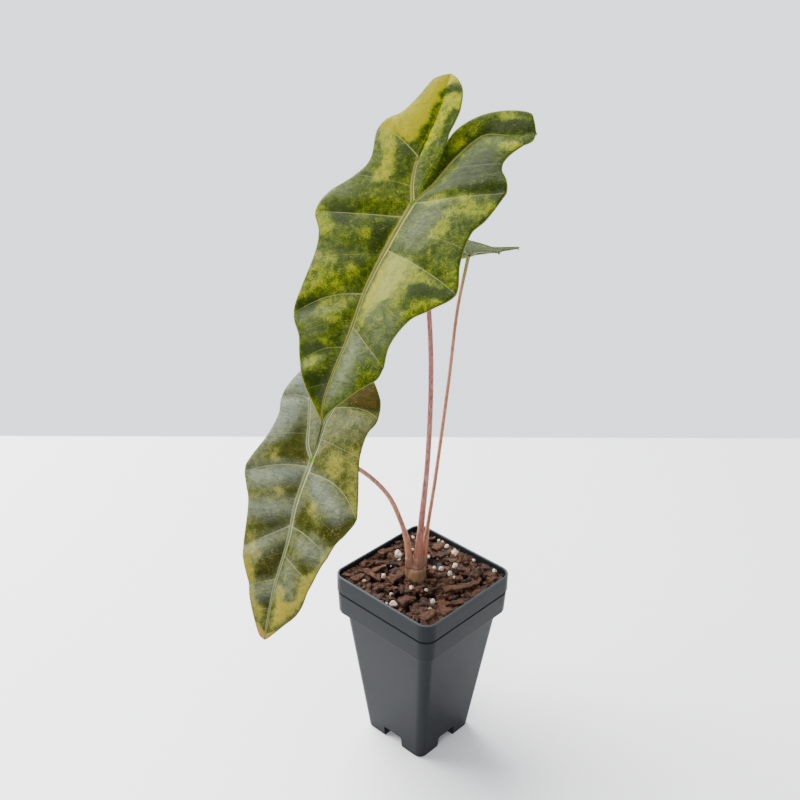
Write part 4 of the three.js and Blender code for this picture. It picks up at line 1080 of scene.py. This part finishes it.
def underMaterial():
    under = newMaterial("bladeUnder", Roughness=0.55, Specular_IOR_Level=0.1)
    plane = attribute(under, "plane", "Vector")
    coarse = mottle(under, plane, 0.2, 4, 0.6)
    pale = calc(under, "ADD", attribute(under, "pale"), calc(under, "SUBTRACT", coarse, 0.3))
    rib = fade(under, attribute(under, "rib"), 1.6, 0.8)
    vein = fade(under, attribute(under, "vein"), 1.5, 0.8)
    colour = coats(under, srgb(78, 88, 58), [
        (fade(under, pale, 0.0, 0.9), srgb(104, 110, 60)),
        (calc(under, "MAXIMUM", rib, vein), srgb(112, 118, 76)),
    ])
    net = fade(under, cells(under, plane, 0.5, "DISTANCE_TO_EDGE"), 0.1, 0.0)
    toShader(under, Base_Color=colour, Normal=bump(under, calc(under, "ADD", net, coarse), 0.0003, 0.7))
    return under


# the sheen tone and the pale tone are painted sheen, where the blade mirrors the light
greenLook = {
    "roughness": 0.3, "paintedSheenStrength": 0.55, "gloss": 0.08,
    "dark": srgb(22, 30, 3), "deep": srgb(31, 42, 4), "mid": srgb(55, 65, 6), "lime": srgb(88, 96, 12),
    "yellow": srgb(122, 115, 6), "pale": srgb(108, 118, 38), "brown": srgb(56, 44, 12),
    "blush": srgb(158, 92, 56), "fleck": srgb(96, 98, 8), "paintedSheen": srgb(82, 89, 60),
    "vein": srgb(122, 120, 66), "groove": srgb(84, 78, 34), "margin": srgb(98, 102, 42),
    "hub": srgb(78, 104, 22),
}
greyLook = dict(
    greenLook, paintedSheenStrength=0.7, gloss=0.1,
    dark=srgb(36, 36, 6), deep=srgb(50, 54, 15), mid=srgb(76, 78, 36), lime=srgb(104, 102, 40),
    yellow=srgb(128, 114, 34), pale=srgb(150, 132, 56), fleck=srgb(116, 108, 44),
    paintedSheen=srgb(110, 118, 110), vein=srgb(132, 136, 100), margin=srgb(88, 88, 40), hub=srgb(88, 116, 30),
)
lowerMaterials = [underMaterial(), newMaterial("bladeEdge", Base_Color=srgb(80, 84, 40), Roughness=0.5)]
upperMaterials = {
    "front": upperMaterial("bladeUpper", greenLook),
    "low": upperMaterial("bladeUpperGrey", greyLook),
    "back": upperMaterial("bladeUpperDark", greenLook),
}


def bladeMatrix(blade):
    turns = [Matrix.Rotation(math.radians(blade[turn]), 4, axis)
             for turn, axis in (("heading", "Z"), ("droop", "Y"), ("roll", "X"))]
    return turns[0] @ turns[1] @ turns[2]


def makeBlade(name):
    blade, bm = blades[name], newMesh()
    rows, lobeRows, columns, lobeColumns = blade["grid"]
    bm.verts.layers.deform.verify()
    bm.verts.layers.float_vector.new("plane")
    for layerName in [*bladeNotes, *paintSoftness]:
        bm.verts.layers.float.new(layerName)
    plane, notes = bm.verts.layers.float_vector["plane"], bm.verts.layers.float
    layers = [plane] + [notes[layerName] for layerName in bladeNotes]
    shares = sharesOf(blade, rows, lobeRows)
    for half in (blade["left"], blade["right"]):
        bladeStrip(bm, layers, blade, half, False, shares, columns)
        bladeStrip(bm, layers, blade, half, True, [share for share in shares if share >= 1], lobeColumns)
    bmesh.ops.remove_doubles(bm, verts=bm.verts, dist=1e-3)
    bmesh.ops.dissolve_degenerate(bm, edges=bm.edges, dist=1e-3)
    for layerName, softness in paintSoftness.items():
        paint(bm, plane, notes[layerName], blade[layerName], softness)
    bmesh.ops.scale(bm, vec=(mm, mm, mm), verts=bm.verts)
    bmesh.ops.transform(bm, matrix=bladeMatrix(blade), verts=bm.verts)
    bmesh.ops.translate(bm, vec=toFrame(blade["junction"]), verts=bm.verts)
    materials = [upperMaterials[name], *lowerMaterials]
    piece = addPiece("leaf" + name.capitalize(), bm, materials, "leaf_" + name, 70)
    piece.vertex_groups.new(name="thickness")
    body = piece.modifiers.new("body", "SOLIDIFY")
    body.thickness, body.offset, body.vertex_group = (relief["skin"] + relief["keel"]) * mm, -1, "thickness"
    body.material_offset, body.material_offset_rim = 1, 2


for bladeName, blade in blades.items():
    makeBlade(bladeName)
    under = bladeMatrix(blade) @ Vector((0, 0, -0.6))  # a stalk ends just under its blade
    makeStalk(bladeName, list(Vector(blade["junction"]) + under))
    print("blade and stalk made:", bladeName)

# Floor, light and camera

studio = {
    "cameraAt": (-12.8, -460.6, 426.9), "pitch": 62.81, "roll": 1.12, "lens": 51.75,
    "floorBack": (309, 0.034), "floorHalf": 3000, "floorHeight": -0.2, "aimHeight": 170,
    "lamps": {  # place, size in metres and power
        "window": ((-450, -1100, 650), 0.6, 8),
        "softbox": ((-620, 450, 1050), 1.4, 84),
    },
    "airColour": srgb(246, 249, 255), "frontAir": 0.9, "air": 1.15, "backdrop": 1.97,
}


def makeStudio():
    bm = newMesh()
    half, (back, slant) = studio["floorHalf"], studio["floorBack"]
    gridOf(bm, [[toFrame((x, y + slope * x, studio["floorHeight"])) for x in (-half, half)]
                for y, slope in ((-half, 0), (back, slant))])
    floor = placed("floor", meshOf("floor", bm))
    floor.data.materials.append(newMaterial("paleFloor", Base_Color=srgb(232, 232, 233), Roughness=0.6))
    world = bpy.data.worlds.new("studio")
    world.use_nodes = True
    heading = addNode(world, "ShaderNodeTexCoord", {}).outputs["Generated"]
    heading = addNode(world, "ShaderNodeSeparateXYZ", {"Vector": heading})
    sideways, upwards = heading.outputs[1], heading.outputs[2]
    behind = calc(world, "MULTIPLY", fade(world, sideways, 0.1, 0.8), fade(world, upwards, 0.3, 0.0))
    inputs = {"Value": sideways, "From Min": -0.9, "From Max": 0.1,
              "To Min": studio["frontAir"], "To Max": studio["air"]}
    around = addNode(world, "ShaderNodeMapRange", inputs, interpolation_type="SMOOTHSTEP").outputs[0]
    inputs = {"Factor": behind, "A": around, "B": studio["backdrop"]}
    strength = addNode(world, "ShaderNodeMix", inputs).outputs[0]
    backdrop = world.node_tree.nodes["Background"]
    backdrop.inputs["Color"].default_value = studio["airColour"]
    world.node_tree.links.new(strength, backdrop.inputs["Strength"])
    bpy.context.scene.world = world
    for name, (point, size, power) in studio["lamps"].items():
        light = bpy.data.lights.new(name, "AREA")
        light.shape, light.size, light.energy = "SQUARE", size, power
        place = toFrame(point)
        aim = toFrame((0, 0, studio["aimHeight"])) - place
        turn = aim.to_track_quat("-Z", "Y").to_matrix().to_4x4()
        placed(name, light).matrix_world = Matrix.Translation(place) @ turn


def makeCamera():
    lens = bpy.data.cameras.new("camera")
    lens.lens, lens.sensor_width, lens.clip_start = studio["lens"], 36, 0.01
    camera = placed("camera", lens)
    pitch = Matrix.Rotation(math.radians(studio["pitch"]), 4, "X")
    roll = Matrix.Rotation(math.radians(studio["roll"]), 4, "Z")
    camera.matrix_world = Matrix.Translation(toFrame(studio["cameraAt"])) @ pitch @ roll
    bpy.context.scene.camera = camera


makeStudio()
makeCamera()
print("studio made")
